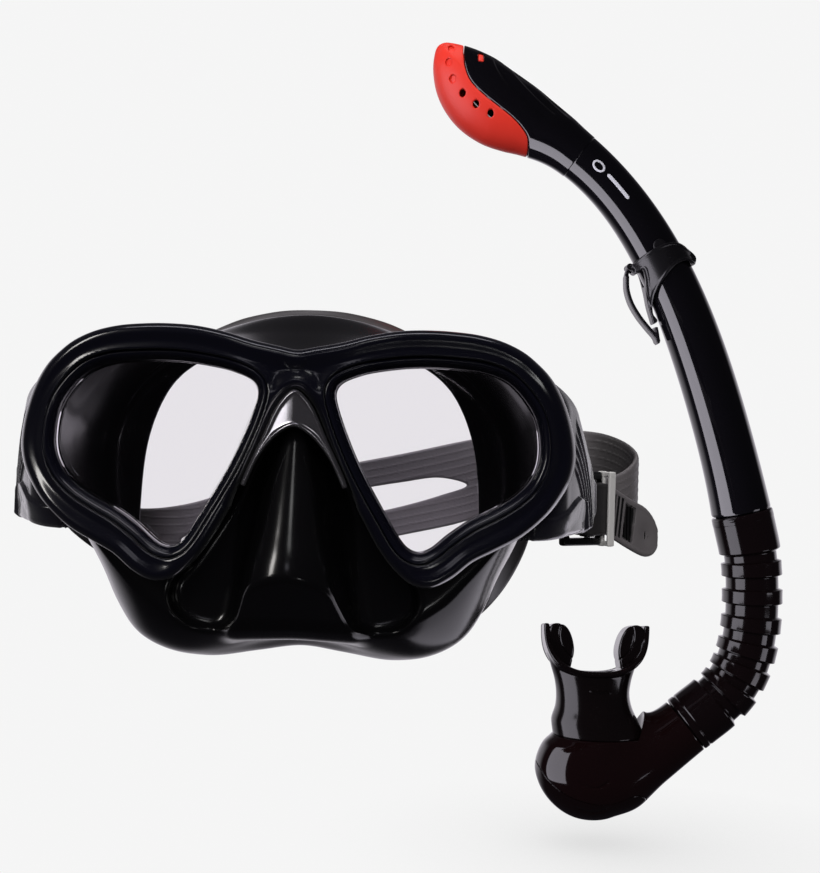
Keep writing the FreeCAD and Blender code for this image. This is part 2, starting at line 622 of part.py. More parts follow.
# ---------------------------------------------------------------- strap keeper on the tube
KEEPER_CENTRE = V(138.7, SNORKEL_Y, 93.5)
KEEPER_DIR = unit(0.459, -0.888)  # down the tube
KEEPER_R = 10.85 + KEEPER_GAP
KEEPER_HALF = 4.0  # half the keeper's width
HINGE_X, HINGE_Z = 123.7, 94.0
HINGE_SLOT_HALF, KNUCKLE_HALF = 2.1, 1.9
# (x, z)
KEEPER_ARM = [(128.9, 92.6), (126.6, 89.4), (127.6, 84.5), (130.6, 78.0), (133.6, 70.9),
              (135.9, 71.4), (134.4, 78.6), (131.9, 85.0), (131.0, 88.5)]
KEEPER_LUG = [(123.0, 95.4), (125.0, 95.0), (127.9, 92.4), (129.5, 88.5), (126.0, 86.6),
              (124.4, 90.2), (122.6, 92.9)]
GATE = [(HINGE_X, HINGE_Z), (122.75, 91.2), (122.7, 88.5), (123.0, 84.5), (124.8, 79.0),
        (128.3, 73.3), (132.2, 68.6), (135.4, 65.0), (136.8, 62.6)]
GATE_HOOK = [(136.5, 63.0), (136.0, 66.0), (135.2, 69.3)]


def build_keeper_ring():
    def sleeve(radius, half_length):
        return Part.makeCylinder(radius, 2 * half_length,
                                 KEEPER_CENTRE - KEEPER_DIR * half_length, KEEPER_DIR)

    keeper = sleeve(KEEPER_R + 1.5, 4.0).cut(sleeve(KEEPER_R, 6.0))
    keeper = keeper.fuse(slab(KEEPER_ARM, KEEPER_HALF)).fuse(slab(KEEPER_LUG, KEEPER_HALF))
    keeper = keeper.cut(tube_loft(TUBE[2:11], -KEEPER_GAP))
    # slot for the gate's knuckle
    slot_y = SNORKEL_Y - HINGE_SLOT_HALF
    keeper = keeper.cut(rod_y(HINGE_X, HINGE_Z, 2.3, HINGE_SLOT_HALF))
    keeper = keeper.cut(Part.makeBox(3.0, 2 * HINGE_SLOT_HALF, 6.0, V(121.2, slot_y, 88.4)))
    for y in (-KEEPER_HALF, HINGE_SLOT_HALF):
        keeper = keeper.fuse(Part.makeCylinder(1.5, KEEPER_HALF - HINGE_SLOT_HALF,
                                               V(HINGE_X, SNORKEL_Y + y, HINGE_Z), Y_AXIS))
    save("keeper_ring", keeper.cut(rod_y(HINGE_X, HINGE_Z, 0.6, 10)).removeSplitter())


def strip(points, thickness, half_depth):
    """Curved plate of even thickness along a smooth (x, z) line."""
    line = smooth(points, 30)
    one_side, other_side = [], []
    for k, (x, z) in enumerate(line):
        step = square_to(direction(line, k)) * (thickness / 2)
        one_side.append((x + step.x, z + step.z))
        other_side.append((x - step.x, z - step.z))
    return slab(one_side + other_side[::-1], half_depth)


def build_keeper_gate():
    gate = strip(GATE[1:], 1.6, KEEPER_HALF).cut(rod_y(HINGE_X, HINGE_Z, 2.0, 6))
    gate = gate.fuse(strip(GATE[:3], 1.7, KNUCKLE_HALF))
    gate = gate.fuse(rod_y(HINGE_X, HINGE_Z, 1.45, KNUCKLE_HALF))
    gate = gate.fuse(strip(GATE_HOOK, 1.2, KEEPER_HALF))
    gate = gate.fuse(rod_y(HINGE_X, HINGE_Z, 0.55, 3.8))
    save("keeper_gate", gate.removeSplitter())


# ---------------------------------------------------------------- flex hose
# centre line from the tube down to the elbow: (x, z)
HOSE = [(174.35, -8.35), (176.3, -16.0), (178.2, -24.0), (179.2, -31.7), (179.8, -43.5),
        (179.6, -54.9), (178.2, -65.6), (175.3, -75.0), (170.5, -83.3), (164.4, -89.6),
        (158.4, -94.6), (153.3, -98.8)]
# rib centres: (x, z)
RIBS = [(179.25, -31.7), (179.8, -43.3), (179.6, -54.9), (178.2, -65.6), (175.3, -75.0),
        (170.3, -83.6)]
RIB_W, RIB_FILLET = 6.0, 0.9


def hose_rib(line, x, z):
    """Rounded disc, square to the centre line at its nearest point."""
    k = min(range(len(line)), key=lambda j: (line[j][0] - x) ** 2 + (line[j][1] - z) ** 2)
    axis = direction(line, k)
    rib = Part.makeCylinder(HOSE_RIB_R, RIB_W, V(x, SNORKEL_Y, z) - axis * (RIB_W / 2), axis)
    rims = [e for e in rib.Edges if abs(e.Length - 2 * math.pi * HOSE_RIB_R) < 0.1]
    return rib.makeFillet(RIB_FILLET, rims)


def build_flex_hose():
    line = smooth(HOSE, 66)
    core = pipe(line[::6], HOSE_VALLEY_R)
    top_cuff = pipe([(174.35, -8.35), (176.3, -16.0), (178.25, -24.4)], 12.95)
    low_cuff = pipe([(165.3, -88.8), (159.3, -93.9), (153.3, -98.9)], 12.7)
    hose = core.multiFuse([hose_rib(line, x, z) for x, z in RIBS] + [top_cuff, low_cuff])
    hose = hose.cut(pipe(line[::6], HOSE_BORE_R))
    # sockets for the tube's and the elbow's spigots
    hose = hose.cut(pipe([(173.6, -5.5), (176.3, -16.0), (178.25, -23.4)], 11.0))
    hose = hose.cut(pipe([(164.0, -89.9), (159.3, -93.9), (151.0, -100.9)], 10.95))
    save("flex_hose", drop_scraps(hose, 300))


# ---------------------------------------------------------------- elbow, purge cover and valve
NECK_DIR = unit(-0.766, -0.643)  # from the hose into the chamber
NECK_START = V(153.15, SNORKEL_Y, -99.05)
# (distance along the neck, radius)
NECK = [(0.1, 12.35), (10.0, 12.6), (20.0, 12.9), (30.0, 13.1), (38.0, 12.6), (44.5, 10.4),
        (49.0, 6.0)]
NECK_BORE = [(-16.0, 9.2), (0.0, 9.0), (10.0, 8.2), (22.0, 8.6), (36.0, 9.6)]
# level sections from the top down: (z, centre x, x radius, y radius)
CHAMBER = [(-103.9, 115.9, 19.2, 15.6), (-108.0, 114.2, 21.6, 16.8), (-116.0, 113.2, 23.2, 17.4),
           (-124.0, 112.9, 21.7, 16.6), (-131.0, 113.0, 18.4, 14.4), (-136.5, 113.6, 13.0, 10.6),
           (-139.6, 114.6, 7.0, 6.0)]
CHAMBER_WALL = 2.0
# seam between the elbow and the purge cover: (x, z)
PURGE_SEAM = [(80.0, -105.0), (86.0, -110.5), (89.8, -115.2), (95.0, -121.6), (102.0, -126.6),
              (109.0, -129.0), (116.0, -130.2), (122.0, -129.4), (127.0, -127.4),
              (131.0, -126.2), (134.8, -127.8), (138.0, -133.0), (143.0, -142.0)]
# curved slot through the cover: (x, z)
VENT = [(105.2, -133.6), (108.5, -135.2), (114, -136.0), (119.5, -135.2), (122.6, -133.6),
        (121.6, -132.9), (118.8, -134.2), (114, -134.9), (109.2, -134.2), (106.2, -132.9)]
TURN_X = 115.2  # mouthpiece's turning axis
SEAT_Z, VALVE_X = -119.0, 111.5  # the valve seat's underside and the valve's axis


def neck_loft(stations):
    centres = [(NECK_START + NECK_DIR * distance, radius) for distance, radius in stations]
    return tube_loft([(centre.x, centre.z, radius) for centre, radius in centres])


def chamber(shrink):
    z, *lowest = CHAMBER[-1]
    sections = CHAMBER[:-1] + [(z + shrink, *lowest)]
    return level_loft([(z, x, rx - shrink, ry - shrink) for z, x, rx, ry in sections])


def upright(x, z, radius, height, y=0.0):
    """Vertical cylinder standing on z; y is measured from the snorkel's plane."""
    return Part.makeCylinder(radius, height, V(x, SNORKEL_Y + y, z))


def below_seam(shift):
    """Slab below the purge seam, the seam raised by shift."""
    seam = [(x, z + shift) for x, z in smooth(PURGE_SEAM, 50)]
    return slab(seam + [(PURGE_SEAM[-1][0], -170.0), (PURGE_SEAM[0][0], -170.0)], 40)


def purge_shell():
    """Elbow and purge cover in one, hollowed."""
    neck = neck_loft(NECK).cut(upright(TURN_X, -103.9, 19.7, 40))
    hose_spigot = Part.makeCylinder(10.85, 19.5, NECK_START - NECK_DIR * 13.5, NECK_DIR)
    shell = chamber(0.0).fuse(neck).fuse(hose_spigot).fuse(upright(TURN_X, -105.4, 12.6, 13.0))
    hollow = chamber(CHAMBER_WALL).common(Part.makeBox(200, 200, 60, V(0, 50, -105.9 - 60)))
    hollow = hollow.fuse(neck_loft(NECK_BORE)).fuse(upright(TURN_X, -110.0, 10.8, 22.0))
    return shell.cut(hollow)


def valve_seat():
    seat = chamber(1.9).common(Part.makeBox(80, 60, 1.6, V(75, SNORKEL_Y - 30, SEAT_Z)))
    seat = seat.cut(below_seam(0.5))
    holes = []
    for k in range(6):
        a = math.radians(30 + 60 * k)
        holes.append(upright(VALVE_X + 6.6 * math.cos(a), SEAT_Z - 4, 2.6, 10,
                             y=6.6 * math.sin(a)))
    return seat.cut(Part.makeCompound(holes)).cut(upright(VALVE_X, SEAT_Z - 4, 1.48, 10))


def build_elbow_and_cover():
    shell = purge_shell()
    elbow = shell.cut(below_seam(SEAM_GAP)).fuse(valve_seat())
    cover = shell.common(below_seam(-SEAM_GAP)).cut(slab(VENT, 40))
    save("elbow", drop_scraps(elbow, 300))
    save("purge_cover", drop_scraps(cover, 100))


def build_purge_valve():
    """Disc under the seat, with a stem through it and a conical bead on the stem."""
    base_z = SEAT_Z - 1.1
    valve = upright(VALVE_X, base_z, 9.8, 1.0).fuse(upright(VALVE_X, base_z, 1.4, 6.5))
    valve = valve.fuse(Part.makeCone(2.3, 1.4, 2.0, V(VALVE_X, SNORKEL_Y, SEAT_Z + 4.3)))
    save("purge_valve", valve.removeSplitter())


# ---------------------------------------------------------------- mouthpiece
# level sections from the bottom up: (z, centre x, x radius, y radius)
MOUTH_OUTER = [(-103.75, 115.8, 19.1, 15.5), (-100.0, 115.3, 18.0, 14.9),
               (-95.0, 114.4, 16.5, 13.9), (-88.0, 113.3, 15.7, 12.8),
               (-82.0, 112.9, 16.0, 11.6), (-78.0, 112.9, 16.8, 10.8)]
MOUTH_BORE = [(-91.9, TURN_X, 12.6, 11.2), (-88.0, 114.0, 12.2, 9.4), (-83.0, 113.2, 11.6, 7.4),
              (-70.0, 113.0, 11.4, 6.2)]
FLANGE_X = 113.2  # middle of the flange and the bite tabs
FLANGE_HALF = 21.2
# bite tab: (distance from FLANGE_X, z)
BITE_TAB = [(10.2, -76.5), (8.6, -70.0), (8.4, -66.0), (10.8, -60.5), (14.5, -58.0),
            (17.8, -58.2), (17.6, -60.5), (14.2, -61.5), (12.8, -65.5), (13.4, -70.0),
            (15.0, -74.5)]


def mouth_flange():
    """Plate that curves up to both sides, trimmed to an oval."""
    xs = [FLANGE_X - FLANGE_HALF + 2 * FLANGE_HALF * k / 24 for k in range(25)]
    lower = [(x, -80.2 + 22.5 * (abs(x - FLANGE_X) / 21.0) ** 2.2) for x in xs]
    upper = [(x * 0.955 + FLANGE_X * 0.045, z + 2.2) for x, z in reversed(lower)]
    trim = level_loft([(-85.0, FLANGE_X, 22.0, 12.8), (-52.0, FLANGE_X, 22.0, 11.4)])
    return slab(lower + upper, 20).common(trim)


def build_mouthpiece():
    bore = upright(TURN_X, -105.4, 12.7, 13.6).fuse(level_loft(MOUTH_BORE))
    mouth = level_loft(MOUTH_OUTER).cut(bore).fuse(mouth_flange().cut(bore))
    for side in (-1, 1):
        tab = slab([(FLANGE_X + side * across, z) for across, z in BITE_TAB], 7.5)
        mouth = mouth.fuse(tab.cut(bore))
    save("mouthpiece", drop_scraps(mouth, 300))


# ---------------------------------------------------------------- build
build_lenses()
build_lens_rings()
build_frame()
build_skirt(build_bridge_trim())
build_side_arms()
build_pivot_pins()
build_buckles()
build_head_strap()
build_snorkel_tube()
build_snorkel_head()
build_keeper_ring()
build_keeper_gate()
build_flex_hose()
build_elbow_and_cover()
build_purge_valve()
build_mouthpiece()
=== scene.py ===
"""A diving mask with its head strap, and a snorkel beside it. Shapes are in millimetres.

The mask is centred on X = 0 and faces -Y, with +Z up; the pieces called left are at +X.
The snorkel lies in the plane Y = 142: its red cap is at the top, at low X, and its tube
runs down towards +X, to the elbow and the mouthpiece.
Most pieces are signed distance fields (negative inside) turned into meshes.
"""

import math

import bmesh
import bpy
import numpy as np
from mathutils import Matrix, Vector


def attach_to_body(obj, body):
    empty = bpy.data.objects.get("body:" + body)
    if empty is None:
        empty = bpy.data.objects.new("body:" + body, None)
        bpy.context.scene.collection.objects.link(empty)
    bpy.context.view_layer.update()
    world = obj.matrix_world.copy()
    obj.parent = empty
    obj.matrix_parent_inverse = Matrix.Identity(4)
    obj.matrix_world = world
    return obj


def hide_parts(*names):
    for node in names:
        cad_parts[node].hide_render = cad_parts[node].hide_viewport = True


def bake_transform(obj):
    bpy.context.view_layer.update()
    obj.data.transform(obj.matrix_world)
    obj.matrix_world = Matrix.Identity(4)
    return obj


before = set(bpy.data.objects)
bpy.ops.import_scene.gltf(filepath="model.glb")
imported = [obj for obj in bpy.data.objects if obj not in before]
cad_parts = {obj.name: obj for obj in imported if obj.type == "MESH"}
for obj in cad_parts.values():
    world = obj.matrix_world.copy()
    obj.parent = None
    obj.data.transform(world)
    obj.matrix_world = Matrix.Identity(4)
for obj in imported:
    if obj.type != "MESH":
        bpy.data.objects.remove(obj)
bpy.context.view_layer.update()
COLLECTION = bpy.context.scene.collection
MM = 0.001
SNORKEL_Y = 142.0
MATERIALS = {}  # by slot name

# ============================================================ curves and tables


def arc_lengths(points):
    """Length along a polyline at each of its points."""
    return np.concatenate([[0], np.cumsum(np.linalg.norm(np.diff(points, axis=0), axis=1))])


def curve(points, count, closed=True):
    """count points, even in length, on a smooth curve through points."""
    p = np.asarray(points, float)
    if closed:
        padded = np.vstack([p[-1], p, p[0], p[1]])
    else:
        padded = np.vstack([2 * p[0] - p[1], p, 2 * p[-1] - p[-2]])
    span = np.maximum(np.linalg.norm(np.diff(padded, axis=0), axis=1) ** 0.5, 1e-6)
    slope = np.diff(padded, axis=0) / span[:, None]
    tangent = slope[:-1] * span[1:, None] + slope[1:] * span[:-1, None]
    tangent /= (span[1:] + span[:-1])[:, None]
    t = np.linspace(0, 1, 16, endpoint=False)[:, None]
    fine = []
    for i in range(len(p) if closed else len(p) - 1):
        fine.append(
            (2 * t**3 - 3 * t**2 + 1) * padded[i + 1]
            + (t**3 - 2 * t**2 + t) * span[i + 1] * tangent[i]
            + (-2 * t**3 + 3 * t**2) * padded[i + 2]
            + (t**3 - t**2) * span[i + 1] * tangent[i + 1])
    fine = np.vstack(fine + [padded[1:2] if closed else padded[-2:-1]])
    lengths = arc_lengths(fine)
    wanted = np.linspace(0, lengths[-1], count + 1 if closed else count)
    even = np.stack([np.interp(wanted, lengths, column) for column in fine.T], 1)
    return even[:-1] if closed else even


def spline(xs, ys):
    """Smooth function through the points (xs, ys)."""
    x, y = curve(np.stack([xs, ys], 1), 400, closed=False).T
    if x[0] > x[-1]:
        x, y = x[::-1], y[::-1]
    return lambda value: np.interp(value, x, y)


def both_sides(half):
    """Closed outline from its x >= 0 half."""
    return list(half) + [(-x, z) for x, z in reversed(half) if x > 0]


def bicubic(table, u, v):
    """Smooth lookup of table at fractional indices u, v."""
    u = np.clip(u, 1.001, table.shape[0] - 2.002)
    v = np.clip(v, 1.001, table.shape[1] - 2.002)
    row, col = u.astype(int), v.astype(int)

    def weights(t):
        return (-0.5 * t**3 + t**2 - 0.5 * t, 1.5 * t**3 - 2.5 * t**2 + 1,
                -1.5 * t**3 + 2 * t**2 + 0.5 * t, 0.5 * t**3 - 0.5 * t**2)

    row_weights, col_weights = weights(u - row), weights(v - col)
    total = 0
    for i in range(4):
        line = sum(col_weights[j] * table[row + i - 1, col + j - 1] for j in range(4))
        total = total + row_weights[i] * line
    return total


def line_distance(line, query, closed):
    """Distance from each query point to a polyline, its nearest arc length, and the side."""
    starts, ends = (line, np.roll(line, -1, 0)) if closed else (line[:-1], line[1:])
    lengths = np.linalg.norm(ends - starts, axis=1)
    before = np.concatenate([[0], np.cumsum(lengths)[:-1]])
    best = np.full(len(query), 1e9)
    arc = np.zeros(len(query))
    side = np.zeros(len(query))
    for k in range(len(starts)):
        along = ends[k] - starts[k]
        offset = query - starts[k]
        t = np.clip(offset @ along / max(along @ along, 1e-12), 0, 1)
        miss = offset - t[:, None] * along
        squared = (miss * miss).sum(1)
        nearer = squared < best
        best[nearer] = squared[nearer]
        arc[nearer] = before[k] + t[nearer] * lengths[k]
        side[nearer] = (along[0] * offset[:, 1] - along[1] * offset[:, 0])[nearer]
    return np.sqrt(best), arc, np.sign(side)


def inside(outline, query):
    x, y = query[:, 0], query[:, 1]
    result = np.zeros(len(query), bool)
    for (x0, y0), (x1, y1) in zip(outline, np.roll(outline, -1, 0)):
        if y0 == y1:
            continue
        crosses = (y0 > y) != (y1 > y)
        result ^= crosses & (x < (x1 - x0) * (y - y0) / (y1 - y0) + x0)
    return result


class PlaneTable:
    """A grid of samples round a line in a plane."""

    def __init__(self, points, step, pad):
        self.step = step
        self.low = points.min(0) - pad
        self.shape = np.ceil((points.max(0) + pad - self.low) / step).astype(int) + 1
        axes = [self.low[k] + step * np.arange(self.shape[k]) for k in range(2)]
        grid = np.meshgrid(*axes, indexing="ij")
        self.query = np.stack([grid[0].ravel(), grid[1].ravel()], 1)

    def index(self, x, y):
        return (x - self.low[0]) / self.step, (y - self.low[1]) / self.step


class Outline(PlaneTable):
    """Signed distance to a closed outline, negative inside."""

    def __init__(self, points, step=0.5, pad=14.0):
        super().__init__(points, step, pad)
        distance = line_distance(points, self.query, True)[0]
        distance[inside(points, self.query)] *= -1
        self.distance = distance.reshape(self.shape)

    def __call__(self, x, y):
        return bicubic(self.distance, *self.index(x, y))


class Track(PlaneTable):
    """Signed distance to an open curve, and the length along it."""

    def __init__(self, points, step=0.5, pad=16.0):
        super().__init__(points, step, pad)
        distance, arc, side = line_distance(points, self.query, False)
        self.length = arc_lengths(points)[-1]
        self.distance = (distance * np.where(side == 0, 1, side)).reshape(self.shape)
        self.arc = arc.reshape(self.shape)

    def __call__(self, x, y):
        u, v = self.index(x, y)
        return bicubic(self.distance, u, v), bicubic(self.arc, u, v)

    def towards(self, x, y):
        """A function for the signed distance, positive on the side where (x, y) is."""
        sign = np.sign(self(np.array([x]), np.array([y]))[0][0])
        return lambda u, v: self(u, v)[0] * sign


# ============================================================ blends of distance fields


def soft_min(a, b, blend):
    t = np.clip(0.5 + 0.5 * (b - a) / blend, 0, 1)
    return b * (1 - t) + a * t - blend * t * (1 - t)


def soft_max(a, b, blend):
    return -soft_min(-a, -b, blend)


def cut(field, tool, blend):
    """field with tool taken away."""
    return soft_max(field, -tool, blend)


def hollow(field, outer, blend=0.3):
    """field with the inside of outer taken away, leaving a 2 mm wall."""
    return cut(field, outer + 2.0, blend)


def ramp(start, end, x):
    """0 at start, 1 at end, smooth between."""
    t = np.clip((x - start) / (end - start), 0, 1)
    return t * t * (3 - 2 * t)


def bell(offset, width):
    return np.exp(-((offset / width) ** 2))


def slab(offset, half):
    return np.abs(offset) - half


def round_box(x, y, z, half_x, half_y, half_z, radius):
    x, y, z = slab(x, half_x) + radius, slab(y, half_y) + radius, slab(z, half_z) + radius
    out = np.sqrt(np.maximum(x, 0) ** 2 + np.maximum(y, 0) ** 2 + np.maximum(z, 0) ** 2)
    return out + np.minimum(np.maximum(x, np.maximum(y, z)), 0) - radius


# ============================================================ meshes
CORNERS = np.array([[i & 1, i >> 1 & 1, i >> 2] for i in range(8)])
EDGES = [(0, 1), (2, 3), (4, 5), (6, 7), (0, 2), (1, 3), (4, 6), (5, 7),
         (0, 4), (1, 5), (2, 6), (3, 7)]
BLOCK = 6  # cells along the side of a block that is kept or skipped as a whole
RELAX_ROUNDS = 2
FINAL_ROUNDS = 3
CHUNK = 400000  # samples taken at a time


def add_object(name, mesh, slot, smooth=True, normals=None):
    mesh.polygons.foreach_set("use_smooth", np.full(len(mesh.polygons), smooth))
    if normals is not None:
        mesh.normals_split_custom_set_from_vertices([tuple(normal) for normal in normals])
    mesh.update()
    obj = bpy.data.objects.new(name, mesh)
    COLLECTION.objects.link(obj)
    mesh.materials.append(MATERIALS[slot])
    return obj


def quad_object(name, vertices, quads, slot, normals=None):
    mesh = bpy.data.meshes.new(name)
    mesh.vertices.add(len(vertices))
    mesh.vertices.foreach_set("co", (vertices * MM).astype(np.float32).ravel())
    mesh.loops.add(len(quads) * 4)
    mesh.loops.foreach_set("vertex_index", quads.astype(np.int32).ravel())
    mesh.polygons.add(len(quads))
    mesh.polygons.foreach_set("loop_start", np.arange(len(quads), dtype=np.int32) * 4)
    mesh.update(calc_edges=True)
    mesh.validate()
    return add_object(name, mesh, slot, normals=normals)


def attach(obj, body, replaced):
    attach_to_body(obj, body)
    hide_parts(replaced)


def grid_quads(rows, cols, wrap_rows, wrap_cols):
    i, j = np.meshgrid(np.arange(rows if wrap_rows else rows - 1),
                       np.arange(cols if wrap_cols else cols - 1), indexing="ij")
    i2, j2 = (i + 1) % rows, (j + 1) % cols
    quads = [i * cols + j, i * cols + j2, i2 * cols + j2, i2 * cols + j]
    return np.stack(quads, -1).reshape(-1, 4)


def gradient(value, points, reach):
    result = np.empty_like(points)
    for k in range(3):
        offset = np.zeros(3)
        offset[k] = reach
        result[:, k] = (value(points + offset) - value(points - offset)) / (2 * reach)
    return result


def surface_net(field, low, high, step, steepness):
    """Surface nets over field = 0, with the points moved on to the exact surface.

    steepness bounds the field's slope, to skip blocks that can't hold the surface.
    """

    def value(points):
        return field(*points.T)

    low = np.asarray(low, float) - 2 * step
    high = np.asarray(high, float) + 2 * step
    blocks = np.ceil((high - low) / (step * BLOCK)).astype(int)
    count = blocks * BLOCK

    def at_corner(array, corner):
        return array[tuple(slice(c, c + n) for c, n in zip(corner, count))]

    def to_cells(array):
        for axis in range(3):
            array = np.repeat(array, BLOCK, axis)
        return array

    # sample only the blocks near the surface; elsewhere the sign is enough
    axes = [low[k] + step * BLOCK * (np.arange(blocks[k]) + 0.5) for k in range(3)]
    centres = np.stack(np.meshgrid(*axes, indexing="ij"), -1).reshape(-1, 3)
    rough = value(centres)
    near = np.abs(rough) < steepness * (0.5 * math.sqrt(3) * BLOCK * step) + step
    near = to_cells(near.reshape(blocks))
    values = to_cells(np.sign(rough.reshape(blocks)) * 9.0).astype(np.float32)
    values = np.pad(values, ((0, 1), (0, 1), (0, 1)), mode="edge")
    wanted = np.zeros(count + 1, bool)
    for corner in CORNERS:
        view = at_corner(wanted, corner)
        view |= near
    index = np.argwhere(wanted)
    sampled = np.empty(len(index), np.float32)
    for start in range(0, len(index), CHUNK):
        sampled[start:start + CHUNK] = value(low + index[start:start + CHUNK] * step)
    values[tuple(index.T)] = sampled

    # one point in each cell that the surface crosses
    solid = values < 0
    corners_in = np.zeros(count, np.uint8)
    for corner in CORNERS:
        corners_in += at_corner(solid, corner)
    active = (corners_in > 0) & (corners_in < 8)
    cells = np.argwhere(active)
    ids = np.full(count, -1, np.int64)
    ids[active] = np.arange(len(cells))
    total = np.zeros((len(cells), 3))
    crossings = np.zeros(len(cells))
    corner_values = [values[tuple((cells + corner).T)].astype(float) for corner in CORNERS]
    for a, b in EDGES:
        va, vb = corner_values[a], corner_values[b]
        crossed = (va < 0) != (vb < 0)
        t = np.where(crossed, va / np.where(crossed, va - vb, 1), 0)[:, None]
        edge_point = CORNERS[a] + t * (CORNERS[b] - CORNERS[a])
        total += np.where(crossed[:, None], edge_point, 0)
        crossings += crossed
    points = low + (cells + total / crossings[:, None]) * step

    # one quad round each grid edge that the surface crosses
    quads = []
    for axis in range(3):
        u, v = (axis + 1) % 3, (axis + 2) % 3
        near_end = [slice(1, n) for n in count]
        near_end[axis] = slice(0, count[axis])
        far_end = list(near_end)
        far_end[axis] = slice(1, count[axis] + 1)
        near_solid = solid[tuple(near_end)]
        edges = np.argwhere(near_solid != solid[tuple(far_end)])
        outward = near_solid[tuple(edges.T)]
        base = edges + 1
        base[:, axis] -= 1
        ring = []
        for du, dv in ((1, 1), (0, 1), (0, 0), (1, 0)):
            cell = base.copy()
            cell[:, u] -= du
            cell[:, v] -= dv
            ring.append(ids[tuple(cell.T)])
        ring = np.stack(ring, 1)
        ring[~outward] = ring[~outward][:, ::-1]
        quads.append(ring)
    quads = np.vstack(quads)
    quads = quads[(quads >= 0).all(1)]

    def to_surface(points, rounds):
        for _ in range(rounds):
            slope = gradient(value, points, 0.06)
            steep = np.maximum((slope * slope).sum(1), 0.05)
            move = -(value(points) / steep)[:, None] * slope
            length = np.linalg.norm(move, axis=1)
            move *= np.minimum(1, 0.8 * step / np.maximum(length, 1e-9))[:, None]
            points = points + move
        return points

    points = to_surface(points, 1)
    for _ in range(RELAX_ROUNDS):
        total = np.zeros_like(points)
        links = np.zeros(len(points))
        for a, b in ((0, 1), (1, 2), (2, 3), (3, 0)):
            qa, qb = quads[:, a], quads[:, b]
            for k in range(3):
                total[:, k] += (np.bincount(qa, points[qb, k], len(points))
                                + np.bincount(qb, points[qa, k], len(points)))
            links += (np.bincount(qa, minlength=len(points))
                      + np.bincount(qb, minlength=len(points)))
        average = total / np.maximum(links, 1)[:, None]
        points = to_surface(points + 0.5 * (average - points), 1)
    points = to_surface(points, FINAL_ROUNDS)
    slope = gradient(value, points, 0.18)
    normals = slope / np.maximum(np.linalg.norm(slope, axis=1), 1e-9)[:, None]
    return points, quads, normals


def sculpt(name, field, low, high, step, body, replaced, slot, steepness=1.35):
    """A piece from a field(x, y, z), meshed at step inside the box from low to high."""
    points, quads, normals = surface_net(field, low, high, step, steepness)
    obj = quad_object(name, points, quads, slot, normals)
    attach(obj, body, replaced)
    return obj


def sculpt_snorkel(name, field, x_range, half_y, z_range, step, body, replaced, slot):
    """A snorkel piece, from a field whose y is measured from the snorkel's plane."""
    sculpt(name, lambda x, y, z: field(x, y - SNORKEL_Y, z),
           (x_range[0], SNORKEL_Y - half_y, z_range[0]),
           (x_range[1], SNORKEL_Y + half_y, z_range[1]), step, body, replaced, slot)


def read_floats(collection, prop, count):
    values = np.empty(count * 3, np.float32)
    collection.foreach_get(prop, values)
    return values.reshape(-1, 3)


def mirror_piece(obj, name, body, replaced, slot):
    """The same piece on the other side of X = 0."""
    mesh = obj.data
    vertices = read_floats(mesh.vertices, "co", len(mesh.vertices)).astype(float)
    corner_vertex = np.empty(len(mesh.loops), np.int32)
    mesh.loops.foreach_get("vertex_index", corner_vertex)
    normals = np.zeros((len(mesh.vertices), 3))
    normals[corner_vertex] = read_floats(mesh.corner_normals, "vector", len(mesh.loops))
    vertices[:, 0] *= -1
    normals[:, 0] *= -1
    quads = corner_vertex.reshape(-1, 4)[:, ::-1]
    attach(quad_object(name, vertices / MM, quads, slot, normals), body, replaced)


def sweep(name, path, profile, slot, segments):
    """Closed profile [(length along path, radius), ...] swept round a path (x, z)."""
    lengths = arc_lengths(path)
    s, radius = np.asarray(profile, float).T
    tangent = np.gradient(path, axis=0)
    tangent /= np.linalg.norm(tangent, axis=1)[:, None]
    on_path = np.clip(s, lengths[0], lengths[-1])
    beyond = s - on_path
    tx, tz = (np.interp(on_path, lengths, column) for column in tangent.T)
    size = np.hypot(tx, tz)
    tx, tz = tx / size, tz / size
    cx = np.interp(on_path, lengths, path[:, 0]) + tx * beyond
    cz = np.interp(on_path, lengths, path[:, 1]) + tz * beyond
    angle = np.linspace(0, 2 * math.pi, segments, endpoint=False)
    in_plane = radius[:, None] * np.cos(angle)
    vertices = np.stack([cx[:, None] - tz[:, None] * in_plane,
                         SNORKEL_Y + radius[:, None] * np.sin(angle),
                         cz[:, None] + tx[:, None] * in_plane], -1).reshape(-1, 3)
    quads = grid_quads(len(s), segments, True, True)[:, [0, 3, 2, 1]]
    return quad_object(name, vertices, quads, slot)


